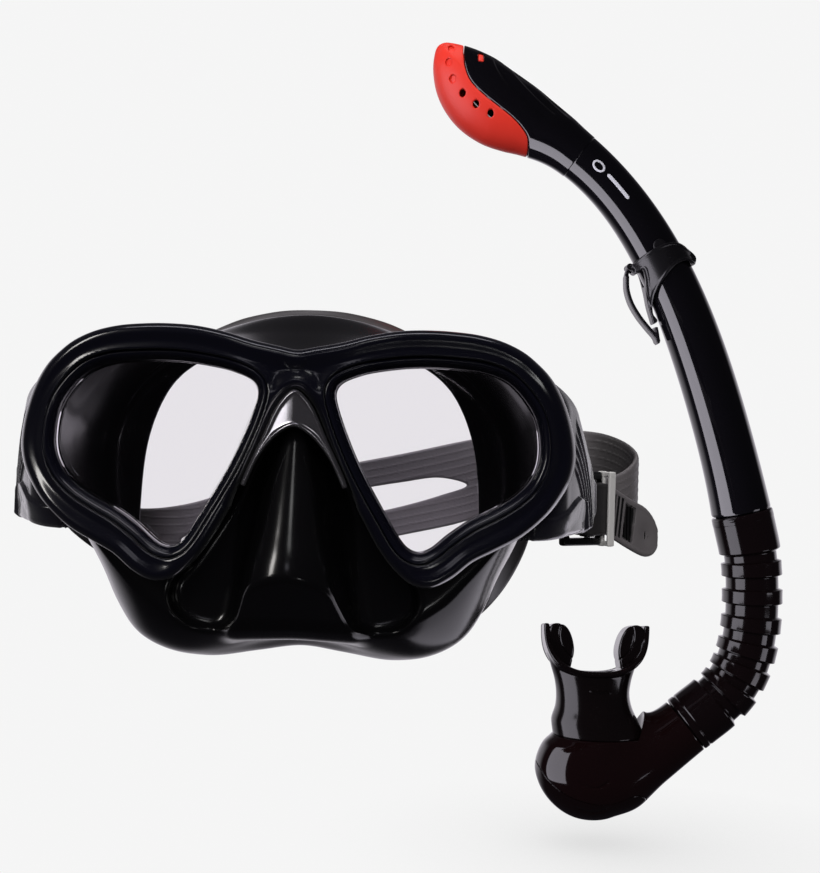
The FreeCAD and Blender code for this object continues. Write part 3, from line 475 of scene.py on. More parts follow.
def turn(name, profile, origin, axis, body, replaced, slot, segments=40):
    """Profile [(distance along axis, radius), ...] turned about an axis through origin."""
    axis = np.asarray(axis, float)
    helper = np.array([0, 0, 1.0] if abs(axis[2]) < 0.9 else [1.0, 0, 0])
    u = np.cross(axis, helper)
    u /= np.linalg.norm(u)
    v = np.cross(axis, u)
    profile = np.asarray(profile, float)
    angle = np.linspace(0, 2 * math.pi, segments, endpoint=False)[None, :, None]
    radial = np.cos(angle) * u + np.sin(angle) * v
    vertices = origin + profile[:, None, 0:1] * axis + profile[:, None, 1:2] * radial
    vertices = vertices.reshape(-1, 3)
    faces = grid_quads(len(profile), segments, False, True).tolist()
    faces.append(list(range(segments)))
    faces.append(list(range(len(vertices) - segments, len(vertices)))[::-1])
    mesh = bpy.data.meshes.new(name)
    mesh.from_pydata((vertices * MM).tolist(), [], faces)
    obj = add_object(name, mesh, slot)
    solid = bmesh.new()
    solid.from_mesh(mesh)
    bmesh.ops.recalc_face_normals(solid, faces=solid.faces)
    solid.to_mesh(mesh)
    solid.free()
    for polygon in mesh.polygons:
        polygon.use_smooth = len(polygon.vertices) == 4
    bevel = obj.modifiers.new("bevel", "BEVEL")
    bevel.width = 0.2 * MM
    bevel.segments = 2
    bevel.limit_method = "ANGLE"
    bevel.angle_limit = math.radians(25)
    bevel.harden_normals = True
    attach(obj, body, replaced)


# ============================================================ materials


def add_node(tree, kind, inputs, **settings):
    """A shader node; inputs maps each input to a value or to the socket that feeds it."""
    node = tree.nodes.new("ShaderNode" + kind)
    for key, value in settings.items():
        setattr(node, key, value)
    for key, value in inputs.items():
        if isinstance(value, bpy.types.NodeSocket):
            tree.links.new(value, node.inputs[key])
        else:
            node.inputs[key].default_value = value
    return node


def mix_color(tree, factor, first, second):
    inputs = {"Factor": factor, "A": first, "B": second}
    return add_node(tree, "Mix", inputs, data_type="RGBA").outputs["Result"]


def compute(tree, operation, *values):
    return add_node(tree, "Math", dict(enumerate(values)), operation=operation).outputs[0]


def ramp_node(tree, value, start, end, low=0.0, high=1.0):
    inputs = {"Value": value, "From Min": start, "From Max": end,
              "To Min": low, "To Max": high}
    node = add_node(tree, "MapRange", inputs, interpolation_type="SMOOTHSTEP")
    return node.outputs["Result"]


def surface(name, color, rough, vary, scale, coat=0.0, coat_rough=0.03, metal=0.0, sheen=0.0,
            mottle=0.0, bump=0.0):
    """A principled material.

    Noise of the given scale varies the roughness by vary and the colour by mottle;
    finer noise gives the bump.
    """
    material = bpy.data.materials.new(name)
    material.use_nodes = True
    tree = material.node_tree
    bsdf = tree.nodes["Principled BSDF"]
    values = {"Base Color": (*color, 1), "Roughness": rough, "Metallic": metal, "IOR": 1.5,
              "Coat Weight": coat, "Coat Roughness": coat_rough, "Specular IOR Level": 0.5,
              "Sheen Weight": sheen}
    for key, value in values.items():
        bsdf.inputs[key].default_value = value
    place = add_node(tree, "TexCoord", {}).outputs["Object"]
    noise = add_node(tree, "TexNoise", {"Scale": scale, "Detail": 3, "Vector": place})
    level = noise.outputs["Fac"]
    if mottle > 0:
        dark = (*[c * (1 - mottle) for c in color], 1)
        light = (*[c * (1 + mottle) + 0.002 for c in color], 1)
        tree.links.new(mix_color(tree, level, dark, light), bsdf.inputs["Base Color"])
    spread = add_node(tree, "MapRange",
                      {"Value": level, "To Min": rough - vary, "To Max": rough + vary})
    tree.links.new(spread.outputs["Result"], bsdf.inputs["Roughness"])
    if bump > 0:
        fine = add_node(tree, "TexNoise", {"Scale": scale * 14, "Vector": place})
        relief = add_node(tree, "Bump", {"Strength": bump, "Distance": 0.0003,
                                         "Height": fine.outputs["Fac"]})
        tree.links.new(relief.outputs["Normal"], bsdf.inputs["Normal"])
    MATERIALS[name] = material


surface("frame_gloss", (0.0016, 0.0016, 0.0042), rough=0.19, vary=0.015, scale=40,
        coat=0.55, coat_rough=0.10, sheen=0.04)
surface("ring_gloss", (0.0022, 0.0022, 0.0050), rough=0.24, vary=0.015, scale=40,
        coat=0.3, coat_rough=0.12)
surface("arm_gloss", (0.0036, 0.0032, 0.0070), rough=0.25, vary=0.02, scale=50,
        coat=0.6, sheen=0.22)
surface("trim_gloss", (0.22, 0.21, 0.23), rough=0.17, vary=0.02, scale=50,
        coat=0.5, metal=0.9)
surface("skirt_silicone", (0.0022, 0.0021, 0.0024), rough=0.19, vary=0.03, scale=30,
        coat=0.25, coat_rough=0.12)
surface("strap_rubber", (0.115, 0.105, 0.108), rough=0.42, vary=0.05, scale=70,
        mottle=0.08, bump=0.15)
# a lighter grey than the skirt's silicone: painted reflection, the grey sheen of the flap at a
# grazing angle
surface("lip_silicone", (0.036, 0.033, 0.032), rough=0.30, vary=0.04, scale=40,
        coat=0.2, coat_rough=0.2)
surface("buckle_black", (0.006, 0.006, 0.0065), rough=0.28, vary=0.04, scale=80, coat=0.2)
surface("roller_black", (0.008, 0.008, 0.0085), rough=0.42, vary=0.05, scale=90)
surface("buckle_bar", (0.70, 0.68, 0.66), rough=0.34, vary=0.06, scale=120, metal=0.25)
surface("pin_steel", (0.55, 0.55, 0.56), rough=0.28, vary=0.05, scale=120, metal=1.0)
surface("tube_gloss", (0.0022, 0.0020, 0.0028), rough=0.08, vary=0.012, scale=40, coat=0.5)
surface("cap_red", (0.86, 0.040, 0.022), rough=0.45, vary=0.05, scale=60,
        coat=0.1, coat_rough=0.3, mottle=0.05)
surface("keeper_black", (0.0045, 0.0042, 0.0050), rough=0.27, vary=0.05, scale=70)
surface("hose_silicone", (0.0045, 0.0024, 0.0028), rough=0.12, vary=0.02, scale=50,
        coat=0.4, coat_rough=0.05)
surface("elbow_gloss", (0.0060, 0.0022, 0.0024), rough=0.08, vary=0.015, scale=40, coat=0.5)
surface("purge_gloss", (0.0045, 0.0020, 0.0022), rough=0.09, vary=0.015, scale=40, coat=0.5)
surface("valve_silicone", (0.60, 0.60, 0.60), rough=0.35, vary=0.05, scale=60)
surface("bite_silicone", (0.0040, 0.0026, 0.0028), rough=0.13, vary=0.03, scale=50,
        coat=0.3, coat_rough=0.08)
surface("tube_mark", (0.50, 0.50, 0.54), rough=0.4, vary=0.05, scale=90)


def empty_material(name):
    material = bpy.data.materials.new(name)
    material.use_nodes = True
    material.node_tree.nodes.clear()
    MATERIALS[name] = material
    return material.node_tree


def lens_glass():
    """Clear, faintly tinted glass with sharp reflections."""
    tree = empty_material("lens_glass")
    place = add_node(tree, "TexCoord", {}).outputs["Object"]
    noise = add_node(tree, "TexNoise", {"Scale": 6, "Vector": place}).outputs["Fac"]
    tint = mix_color(tree, noise, (0.955, 0.94, 0.965, 1), (0.965, 0.95, 0.97, 1))
    clear = add_node(tree, "BsdfTransparent", {"Color": tint}).outputs["BSDF"]
    mirror = add_node(tree, "BsdfGlossy", {"Roughness": 0.0, "Color": (1, 1, 1, 1)})
    edge_on = add_node(tree, "Fresnel", {"IOR": 1.45}).outputs["Fac"]
    mix = add_node(tree, "MixShader", {"Fac": edge_on, 1: clear, 2: mirror.outputs["BSDF"]})
    add_node(tree, "OutputMaterial", {"Surface": mix.outputs["Shader"]})


lens_glass()

# ============================================================ mask outlines
# Half outlines (x, z) of one lens window and of the frame
LENS = [
    (11.2, 32.0), (12.6, 34.6), (18.5, 37.4), (27.0, 39.2), (36.0, 40.1), (46.5, 39.9),
    (54.5, 39.0), (61.0, 36.6), (66.3, 31.5), (69.6, 26.0), (71.0, 19.0), (70.8, 13.6),
    (68.3, 7.6), (64.0, 3.2), (57.2, -1.0), (51.4, -4.0), (45.0, -8.5), (39.6, -12.9),
    (36.3, -14.0), (32.8, -12.4), (26.3, -2.6), (18.0, 12.4), (12.4, 26.2)]
FRAME = [
    (0.0, 44.0), (5.0, 44.9), (13.0, 46.5), (20.5, 48.6), (29.5, 50.3), (38.0, 50.8),
    (45.5, 50.6), (52.5, 49.9), (59.5, 48.2), (65.5, 45.5), (69.5, 42.6), (74.0, 38.3),
    (78.0, 32.2), (80.9, 25.0), (82.4, 18.5), (82.6, 14.0), (81.4, 8.8), (78.6, 3.6),
    (74.3, -1.9), (66.3, -8.6), (58.5, -12.8), (52.3, -16.0), (46.0, -21.0), (40.5, -23.5),
    (35.0, -22.9), (29.5, -18.6), (24.8, -12.6), (18.6, -1.8), (16.6, 4.0), (10.2, 17.2),
    (4.2, 29.4), (0.0, 32.7)]
FRAME_CORNER = 27  # where the outer edge meets the nose arch


def flipped(points):
    return [(-x, z) for x, z in reversed(points)]


lens_outline = Outline(curve(LENS, 260))
outer_edge = flipped(FRAME[1:FRAME_CORNER + 1]) + FRAME[:FRAME_CORNER + 1]
nose_arch = FRAME[FRAME_CORNER:] + flipped(FRAME[FRAME_CORNER:-1])
frame_outline = Outline(np.vstack([curve(outer_edge, 420, closed=False)[:-1],
                                   curve(nose_arch, 120, closed=False)[:-1]]))
# The frame's front and back in plan (x, y)
FRONT_PLAN = curve([
    (0, -48.5), (10, -48.6), (20, -48.1), (40, -46.2), (60, -43.2), (70, -40.2), (77, -36.0),
    (81, -32.5), (84, -29.0), (92, -20.0)], 300, closed=False)
BACK_PLAN = np.array([
    (0, -40.0), (11, -40.0), (76.8, -32.1), (78.6, -26.5), (79.6, -23.6), (110, -23.6)])
# The lenses lean back as they go outwards, from this line
LENS_X, LENS_Y, LENS_SLOPE = 11.0, -43.5, 0.12
WALL_BEHIND_LENS = 3.65


def lens_y(across):
    return LENS_Y + LENS_SLOPE * (np.maximum(across, 0) - LENS_X)


def wall_y(across):
    return LENS_Y + LENS_SLOPE * np.maximum(across - LENS_X, 0) + WALL_BEHIND_LENS


# ============================================================ frame, rings, lenses, trim
RING_SEAT = 3.15  # from the lens window out to the frame's inner edge
RING_EDGE = 3.03  # from the lens window out to the ring's edge


def frame_field(x, y, z):
    across = np.abs(x)
    edge = frame_outline(x, z)
    from_edge, from_seat = -edge, lens_outline(across, z) - RING_SEAT
    width = np.maximum(from_edge + from_seat, 0.5)
    # a rounded outer bead, then a channel that rises again towards the ring
    narrow = (1.15 * ramp(1.6, 6.4, from_edge) * (0.45 + 0.55 * ramp(-0.8, 3.2, from_seat))
              * ramp(3.0, 6.5, width))
    wide = ramp(8.0, 15.0, width) * ramp(3.0, 9.5, from_edge) * ramp(0.0, 7.5, from_seat)
    sunk = narrow + wide
    # a half-round groove in the middle of the bridge
    sunk = sunk + 0.22 * bell(np.hypot(x, z - 41.4) - 3.2, 0.5) * (1 - ramp(40.5, 42.0, z))
    softened = np.sqrt(across * across + 9.0) - 3.0
    front_y = np.interp(softened, FRONT_PLAN[:, 0], FRONT_PLAN[:, 1])
    field = soft_max(edge, (front_y + sunk - y) * 0.97, 3.4)
    field = cut(field, from_seat, 0.7)
    back_y = np.interp(across, BACK_PLAN[:, 0], BACK_PLAN[:, 1])
    return soft_max(field, (y - back_y) * 0.95, 0.5)


def ring_field(x, y, z):
    out = lens_outline(x, z)
    face = lens_y(x)
    swell = np.sin(0.5 * math.pi * np.clip(out / 2.4, 0, 1))
    height = 1.1 + 2.9 * swell - 0.25 * ramp(2.3, 3.05, out)
    field = soft_max(-(out - 0.05), (face - height - y) * 0.8, 0.6)
    field = soft_max(field, out - RING_EDGE, 0.5)
    return soft_max(field, (y - (face + 0.9)) * 0.99, 0.2)


sculpt("frame_shell", frame_field, (-83.5, -50.5, -25), (83.5, -22.8, 52.5), 0.5,
       "mask", "frame", "frame_gloss")
ring = sculpt("lens_ring_left_roll", ring_field, (7.5, -49, -18), (75, -34.5, 44), 0.42,
              "mask", "lens_ring_left", "ring_gloss")
mirror_piece(ring, "lens_ring_right_roll", "mask", "lens_ring_right", "ring_gloss")
for tag in ("left", "right"):
    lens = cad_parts["lens_" + tag]
    lens.data.materials.clear()
    lens.data.materials.append(MATERIALS["lens_glass"])

# The arch-shaped trim over the nose (x, z)
TRIM_OUTER = [(-16.3, 4.3), (-10.0, 17.1), (-4.1, 29.1), (0.0, 32.4), (4.1, 29.1),
              (10.0, 17.1), (16.3, 4.3)]
TRIM_INNER = [(14.0, 4.3), (10.6, 11.8), (7.2, 16.7), (3.8, 20.0), (0.0, 21.7),
              (-3.8, 20.0), (-7.2, 16.7), (-10.6, 11.8), (-14.0, 4.3)]
trim_outline = Outline(
    np.vstack([curve(TRIM_OUTER, 120, False), curve(TRIM_INNER, 120, False)]), 0.35, 8)


def trim_field(x, y, z):
    across = np.sqrt(x * x + 0.02) - 0.14
    edge = trim_outline(x, z)
    front = -52.6 + 0.25 * across + 0.012 * across * across + 0.03 * np.maximum(26 - z, 0)
    rim = 0.5 * bell(edge + 0.75, 0.5)
    field = soft_max(edge, (front - rim - y) * 0.93, 0.8)
    return soft_max(field, y + 45.5, 0.3)


sculpt("bridge_trim_crest", trim_field, (-17, -53.2, 3.5), (17, -45, 33), 0.3,
       "mask", "bridge_trim", "trim_gloss")

# ============================================================ skirt
SKIRT_AXIS_Z = 6.0
# Half sections (x, z) of the skirt at each depth y
SECTIONS = {
    -45: [(0, 41), (14, 43), (30, 46), (45, 46.5), (58, 43.5), (67, 36), (72.5, 28),
          (74.5, 18), (73, 9), (67, 0), (57.5, -8.5), (48, -15), (41, -19.5), (34, -25),
          (27, -30), (14, -34), (0, -34.5)],
    -30: [(0, 44), (14, 46), (30, 48), (45, 48), (58, 44.5), (68, 37), (73.5, 28), (75, 18),
          (73.5, 8), (69, -3), (61, -14), (54, -24), (46, -34), (36, -40), (22, -41),
          (10, -40), (0, -39)],
    -12: [(0, 51.0), (14, 50.9), (30, 49), (45, 47), (58, 41.5), (67, 33), (72, 24),
          (73.5, 14), (72, 2), (67.5, -11), (61.5, -23), (56.5, -34), (49.5, -43.5),
          (38, -48.5), (24, -48), (11, -45), (0, -43.5)],
    5: [(0, 58.6), (15, 56.9), (30, 52.4), (45, 47.0), (58, 39), (66, 29), (70.5, 19), (72, 7),
        (70.5, -6), (66.0, -17), (61.0, -27), (58.2, -35), (53.8, -42.5), (43, -50),
        (30, -52.6), (14, -50.5), (0, -48.6)],
    20: [(0, 59.9), (15, 58.1), (30, 53.0), (45, 47), (57, 38.5), (65, 28), (69, 17), (70, 5),
         (68.5, -7), (65, -18), (61, -28), (58.5, -36), (53, -44), (43, -50), (30, -52.3),
         (14, -50), (0, -48)],
    42: [(0, 60.4), (15, 58.7), (30, 53.5), (44, 47), (56, 38), (64, 27), (68, 16), (69, 5),
         (68, -7), (65, -18), (61, -28), (58, -36), (52, -44), (42, -49.5), (30, -51.5),
         (14, -49), (0, -47)],
}
# Half outlines (x, z): the lip's rear edge, the face opening, the recess by the nose
REAR = [(0, 61.2), (10, 60.8), (18, 59.4), (25, 57.6), (31, 55.2), (38, 52.0), (47, 47.0),
        (62, 36), (73, 16), (77, -3), (75.6, -14), (71.6, -24), (65.2, -34), (57.5, -41.5),
        (45, -48.0), (30, -50.5), (15, -48), (0, -46)]
OPENING = [(0, 51.0), (14, 50.0), (28, 46.5), (39, 41.5), (45.5, 36), (50, 29), (53.5, 20),
           (55.3, 12), (56.5, -1), (56.5, -13), (53, -24), (46, -33), (36, -38), (26, -36),
           (18, -30), (12, -27), (0, -26)]
POCKET = [(0, 24.0), (6, 21.5), (12, 13), (18, 2), (25, -10), (31, -19), (36.0, -25.5),
          (36.2, -31), (32.0, -36.5), (26, -38.6), (20, -38.2), (12, -37.5), (0, -37.0)]
ANGLES = np.linspace(-math.pi / 2, math.pi / 2, 241)
DEPTHS = np.linspace(-50, 50, 201)


def radius_by_angle(half):
    """Radius of an outline about the skirt's axis, at ANGLES."""
    x, z = curve(both_sides(half), 900).T
    angle = np.arctan2(z - SKIRT_AXIS_Z, x)
    order = np.argsort(angle)
    angle = angle[order]
    radius = np.hypot(x, z - SKIRT_AXIS_Z)[order]
    angle = np.concatenate([angle - 2 * math.pi, angle, angle + 2 * math.pi])
    return np.interp(ANGLES, angle, np.tile(radius, 3))


def skirt_radii():
    """Radius of the skirt at each of ANGLES and DEPTHS, a little smoothed."""
    stations = np.array(sorted(SECTIONS), float)
    sections = np.array([radius_by_angle(SECTIONS[int(y)]) for y in stations])
    radii = np.empty((len(ANGLES), len(DEPTHS)))
    for k in range(len(ANGLES)):
        line = curve(np.stack([stations, sections[:, k]], 1), 300, closed=False)
        radii[k] = np.interp(DEPTHS, line[:, 0], line[:, 1])
    for _ in range(6):
        radii[:, 1:-1] = 0.25 * radii[:, :-2] + 0.5 * radii[:, 1:-1] + 0.25 * radii[:, 2:]
        radii[1:-1] = 0.25 * radii[:-2] + 0.5 * radii[1:-1] + 0.25 * radii[2:]
    return radii


radii = skirt_radii()
rear_radius = radius_by_angle(REAR)
for _ in range(4):
    rear_radius[1:-1] = (0.25 * rear_radius[:-2] + 0.5 * rear_radius[1:-1]
                         + 0.25 * rear_radius[2:])
angle_step, depth_step = ANGLES[1] - ANGLES[0], DEPTHS[1] - DEPTHS[0]
# turns a radial gap into a distance
radial_scale = 1 / np.sqrt(1 + (np.gradient(radii, angle_step, axis=0) / radii) ** 2
                           + np.gradient(radii, depth_step, axis=1) ** 2)
opening_outline = Outline(curve(both_sides(OPENING), 400), 0.6, 20)
pocket_outline = Outline(curve(both_sides(POCKET), 300), 0.5, 20)
# The nose by height: its radius in front and at its base, and its foremost y
NOSE_Z = [30, 22, 12, 2, -8, -20, -34, -45]
NOSE_BASE_Y = -30.0
nose_front_radius = spline(NOSE_Z, [2.0, 3.0, 5.2, 7.2, 9.0, 12.4, 14.4, 15.4])
nose_base_radius = spline(NOSE_Z, [4.0, 6.0, 9.5, 12.0, 13.6, 15.6, 18.0, 19.0])
nose_front_y = spline([30, 22, 12, 2, -8, -16, -21, -45],
                      [-43.0, -46.0, -50.0, -54.2, -58.2, -61.2, -62.2, -66.0])


def body_field(x, y, z):
    across = np.abs(x)
    u = (np.arctan2(z - SKIRT_AXIS_Z, across) - ANGLES[0]) / angle_step
    u = np.clip(u, 1.01, len(ANGLES) - 2.02)
    v = (y - DEPTHS[0]) / depth_step
    side = np.hypot(across, z - SKIRT_AXIS_Z) - bicubic(radii, u, v)
    side = side * bicubic(radial_scale, u, v)
    back = (y - (11.0 + 22.0 * (across / 80.0) ** 2)) * 0.93
    field = soft_max(side, back, 7.0)
    field = soft_max(field, (wall_y(np.sqrt(x * x + 4.0)) - y) * 0.99, 1.6)
    # the recess either side of the nose
    pocket = soft_max(pocket_outline(x, z), y - NOSE_BASE_Y, 4.0)
    return cut(field, pocket, 2.6)


def nose_field(x, y, z):
    """A tapered capsule in plan: the base circle, and a front circle of another radius."""
    base, tip = nose_base_radius(z), nose_front_radius(z)
    length = np.maximum(NOSE_BASE_Y - (nose_front_y(z) + tip), base - tip + 0.5)
    across, forward = np.sqrt(x * x + 0.3), NOSE_BASE_Y - y
    sine = (base - tip) / length
    cosine = np.sqrt(np.maximum(1 - sine * sine, 1e-4))
    along = -sine * across + cosine * forward
    flank = cosine * across + sine * forward - base
    front = np.where(along > cosine * length, np.hypot(across, forward - length) - tip, flank)
    field = np.where(along < 0, np.hypot(across, forward) - base, front) * 0.93
    # flat slanted underside of the tip, then the bottom, top and back ends
    slant = (y + 62.2) * -0.585 + (z + 20.6) * -0.81
    field = soft_max(field, slant, 1.6)
    field = soft_max(field, -41.2 - z, 3.5)
    field = soft_max(field, z - 25.0, 3.0)
    return soft_max(field, y + 24.0, 2.0)


def skirt_field(x, y, z):
    outer = soft_min(body_field(x, y, z), nose_field(x, y, z), 5.5)
    shell = hollow(outer, outer, 0.5)
    window = soft_max(lens_outline(np.abs(x), z) + 0.1, y + 26.0, 1.0)
    shell = cut(shell, window, 0.5)
    opening = soft_max(opening_outline(x, z), -(y - 2.0), 1.0)
    return cut(shell, opening, 0.9)


LIP_ANGLES = 360
LIP_STEPS = 18
LIP_DEPTH = 15.5


def lip_profile(angle):
    """Closed profile (radius, y) of the lip at an angle from -90 to 90 degrees."""
    k = (angle - ANGLES[0]) / angle_step
    rear = np.interp(k, np.arange(len(ANGLES)), rear_radius)
    row = int(min(max(k, 0), len(ANGLES) - 2))
    part = k - row
    end_y = 18.0 + 24.0 * (rear * math.cos(angle) / 80.0) ** 2
    y = np.linspace(end_y - LIP_DEPTH, end_y, LIP_STEPS)
    base = np.interp(y, DEPTHS, radii[row] * (1 - part) + radii[row + 1] * part)
    u = np.linspace(0, 1, LIP_STEPS)
    radius = base - 0.9 + (rear - base + 0.9) * u**1.7
    slope = np.gradient(radius, y)
    size = np.sqrt(1 + slope * slope)
    outer = np.stack([radius, y], 1)
    normal = np.stack([1 / size, -slope / size], 1)
    inner = outer - (1.7 - 0.8 * u)[:, None] * normal  # 1.7 mm thick, 0.9 at the edge
    tangent = np.array([slope[-1], 1]) / size[-1]
    middle = (outer[-1] + inner[-1]) / 2
    tip = [middle + tangent * 0.42 + (outer[-1] - middle) * 0.55,
           middle + tangent * 0.55,
           middle + tangent * 0.42 + (inner[-1] - middle) * 0.55]
    return np.vstack([outer, tip, inner[::-1]])


def sealing_lip():
    """The thin flared lip round the rear edge, swept round the skirt's axis."""
    rows = []
    for turn_angle in np.linspace(0, 2 * math.pi, LIP_ANGLES, endpoint=False):
        angle, side = turn_angle, 1.0
        if turn_angle > 1.5 * math.pi:
            angle = turn_angle - 2 * math.pi
        elif turn_angle > math.pi / 2:
            angle, side = math.pi - turn_angle, -1.0
        radius, y = lip_profile(angle).T
        rows.append(np.stack([radius * math.cos(angle) * side, y,
                              SKIRT_AXIS_Z + radius * math.sin(angle)], 1))
    vertices = np.array(rows)
    # even out the joins at the top and the bottom
    for _ in range(3):
        neighbours = np.roll(vertices, 1, 0) + np.roll(vertices, -1, 0)
        vertices = 0.5 * vertices + 0.25 * neighbours
    quads = grid_quads(*vertices.shape[:2], True, True)
    return quad_object("skirt_sealing_lip", vertices.reshape(-1, 3), quads, "lip_silicone")


lip = sealing_lip()
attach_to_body(lip, "mask")
sculpt("skirt_body", skirt_field, (-81.5, -63.5, -54), (81.5, 43.5, 65), 0.85,
       "mask", "skirt", "skirt_silicone", steepness=1.6)

# ============================================================ side arms
# The arm's middle surface in plan (x, y)
arm_track = Track(curve([
    (70.5, -31.0), (75.0, -29.6), (79.0, -26.6), (81.1, -23.3), (84.5, -17.0), (87.7, -9.0),
    (90.2, -2.0), (92.0, 5.5), (93.0, 11.0)], 160, closed=False), 0.4, 10)
# Its outline from the side (y, z), and the line its ridges follow
arm_outline = Outline(curve([
    (-40, 44.0), (-27.5, 42.0), (-24.2, 38.5), (-21.8, 33.5), (-19.2, 28.9), (-15.5, 24.3),
    (-7.5, 17.0), (-2.0, 12.3), (1.2, 9.2), (4.5, 6.6), (6.6, 3.6), (7.4, 0), (6.6, -4.0),
    (4.2, -7.0), (0, -8.2), (-10, -8.6), (-18, -8.8), (-23.4, -9.0), (-40, -9.0)], 340),
    0.4, 12)
ridge_track = Track(curve([
    (-34, 46), (-23.4, 36.0), (-15.5, 24.3), (-9.5, 17.0), (-5.0, 10.5), (-1.5, 3.0),
    (0.8, -5.0), (2.0, -12.0)], 140, closed=False), 0.4, 46)
RIDGES, RIDGE_START, RIDGE_PITCH = 5, 3.4, 2.15
ARM_HALF = 1.75  # half the arm's thickness
# Top edge of the raised fin along the arm's lower edge, turned down at its rear
FIN_Y = [-40, -31, -26, -22, -19, -16, -14, -12.5, -11.2]
FIN_Z = [-4.6, -3.4, -1.0, 1.4, 2.6, 2.0, 0.2, -4.0, -12.0]
FRAME_GAP = 0.28


def arm_field(x, y, z):
    offset, _ = arm_track(x + 0.065 * np.maximum(z - 28.0, 0) ** 2, y)
    edge = arm_outline(y, z)
    outer_face = ramp(-0.6, 0.6, -offset)
    # saw-toothed ridges
    phase = (np.abs(ridge_track(y, z)[0]) - RIDGE_START) / RIDGE_PITCH
    part = phase - np.floor(phase)
    ridge = np.where((phase > 0) & (phase < RIDGES),
                     np.minimum(part / 0.70, (1 - part) / 0.30), 0)
    ridge = ridge * ridge * (3 - 2 * ridge) * ramp(-22.6, -20.6, y) * ramp(0.4, 1.8, -edge)
    below = np.interp(y, FIN_Y, FIN_Z) - z
    fin = ramp(-0.7, 0.35, below) * (1 - 0.8 * ramp(0.5, 7.0, below))
    out = ARM_HALF + outer_face * (0.62 * ridge + 1.05 * fin - 0.25)
    field = np.where(offset < 0, -offset - out, offset - ARM_HALF) * 0.93
    field = soft_max(field, edge, 2.2)
    # the part in front of the frame's side stays low
    top = z - (0.6 + 70.0 * ramp(77.5, 82.0, x)) - 40.0 * ramp(30.0, 34.0, z)
    field = soft_max(field, top, 1.0)
    return cut(field, frame_field(x, y, z) - FRAME_GAP, 0.3)


arm = sculpt("side_arm_left_shell", arm_field, (66.5, -34.5, -10.2), (95.5, 8.8, 44), 0.36,
             "mask", "side_arm_left", "arm_gloss")
mirror_piece(arm, "side_arm_right_shell", "mask", "side_arm_right", "arm_gloss")

# The pin through each arm and buckle: (distance outwards, radius)
PIVOT_PROFILE = [(0, 2.7), (0.4, 3.2), (1.2, 3.2), (1.2, 1.6), (10.7, 1.6), (11.1, 1.2)]
PIVOT_X = 79.4
for side, tag in ((1, "left"), (-1, "right")):
    turn("pivot_pin_%s_turned" % tag, PIVOT_PROFILE, (PIVOT_X * side, 0, 0), (side, 0, 0),
         "mask", "pivot_pin_" + tag, "pin_steel")

# ============================================================ buckles
BUCKLE_HALF_Z = 12.25
BUCKLE_BAR = 2.6  # height of the bars above and below the window
HUB_X = 83.6
ROLLER_AT = 11.0  # along the buckle from its start
ROLLER_PIN = [(0, 0.8), (0.25, 1.0), (22.05, 1.0), (22.3, 0.8)]


class Buckle:
    """A buckle's place, as if at +X: along runs back from its start, across outwards."""

    def __init__(self, tag, side, degrees, start, z, web_half_z, box_x, box_y):
        self.tag, self.side, self.z = tag, side, z
        self.web_half_z, self.box_x, self.box_y = web_half_z, box_x, box_y
        angle = math.radians(degrees)
        self.start = np.array(start)
        self.along = np.array([math.cos(angle), math.sin(angle)])
        self.across = np.array([math.sin(angle), -math.cos(angle)])
        self.roller = self.start + self.along * ROLLER_AT

    def local(self, x, y, z):
        x, y = x * self.side - self.start[0], y - self.start[1]
        return (x * self.along[0] + y * self.along[1],
                x * self.across[0] + y * self.across[1], z - self.z)

    def point(self, u, n):
        """Plan point, u along and n across from the roller."""
        x, y = self.roller + self.along * u + self.across * n
        return x * self.side, y


LEFT = Buckle("left", side=1, degrees=31.5, start=(83.2, 9.5), z=-2.2, web_half_z=4.5,
              box_x=(80.5, 99.5), box_y=21)
RIGHT = Buckle("right", side=-1, degrees=84.0, start=(84.6, 9.0), z=2.0, web_half_z=3.75,
               box_x=(-88.5, -80.5), box_y=28)


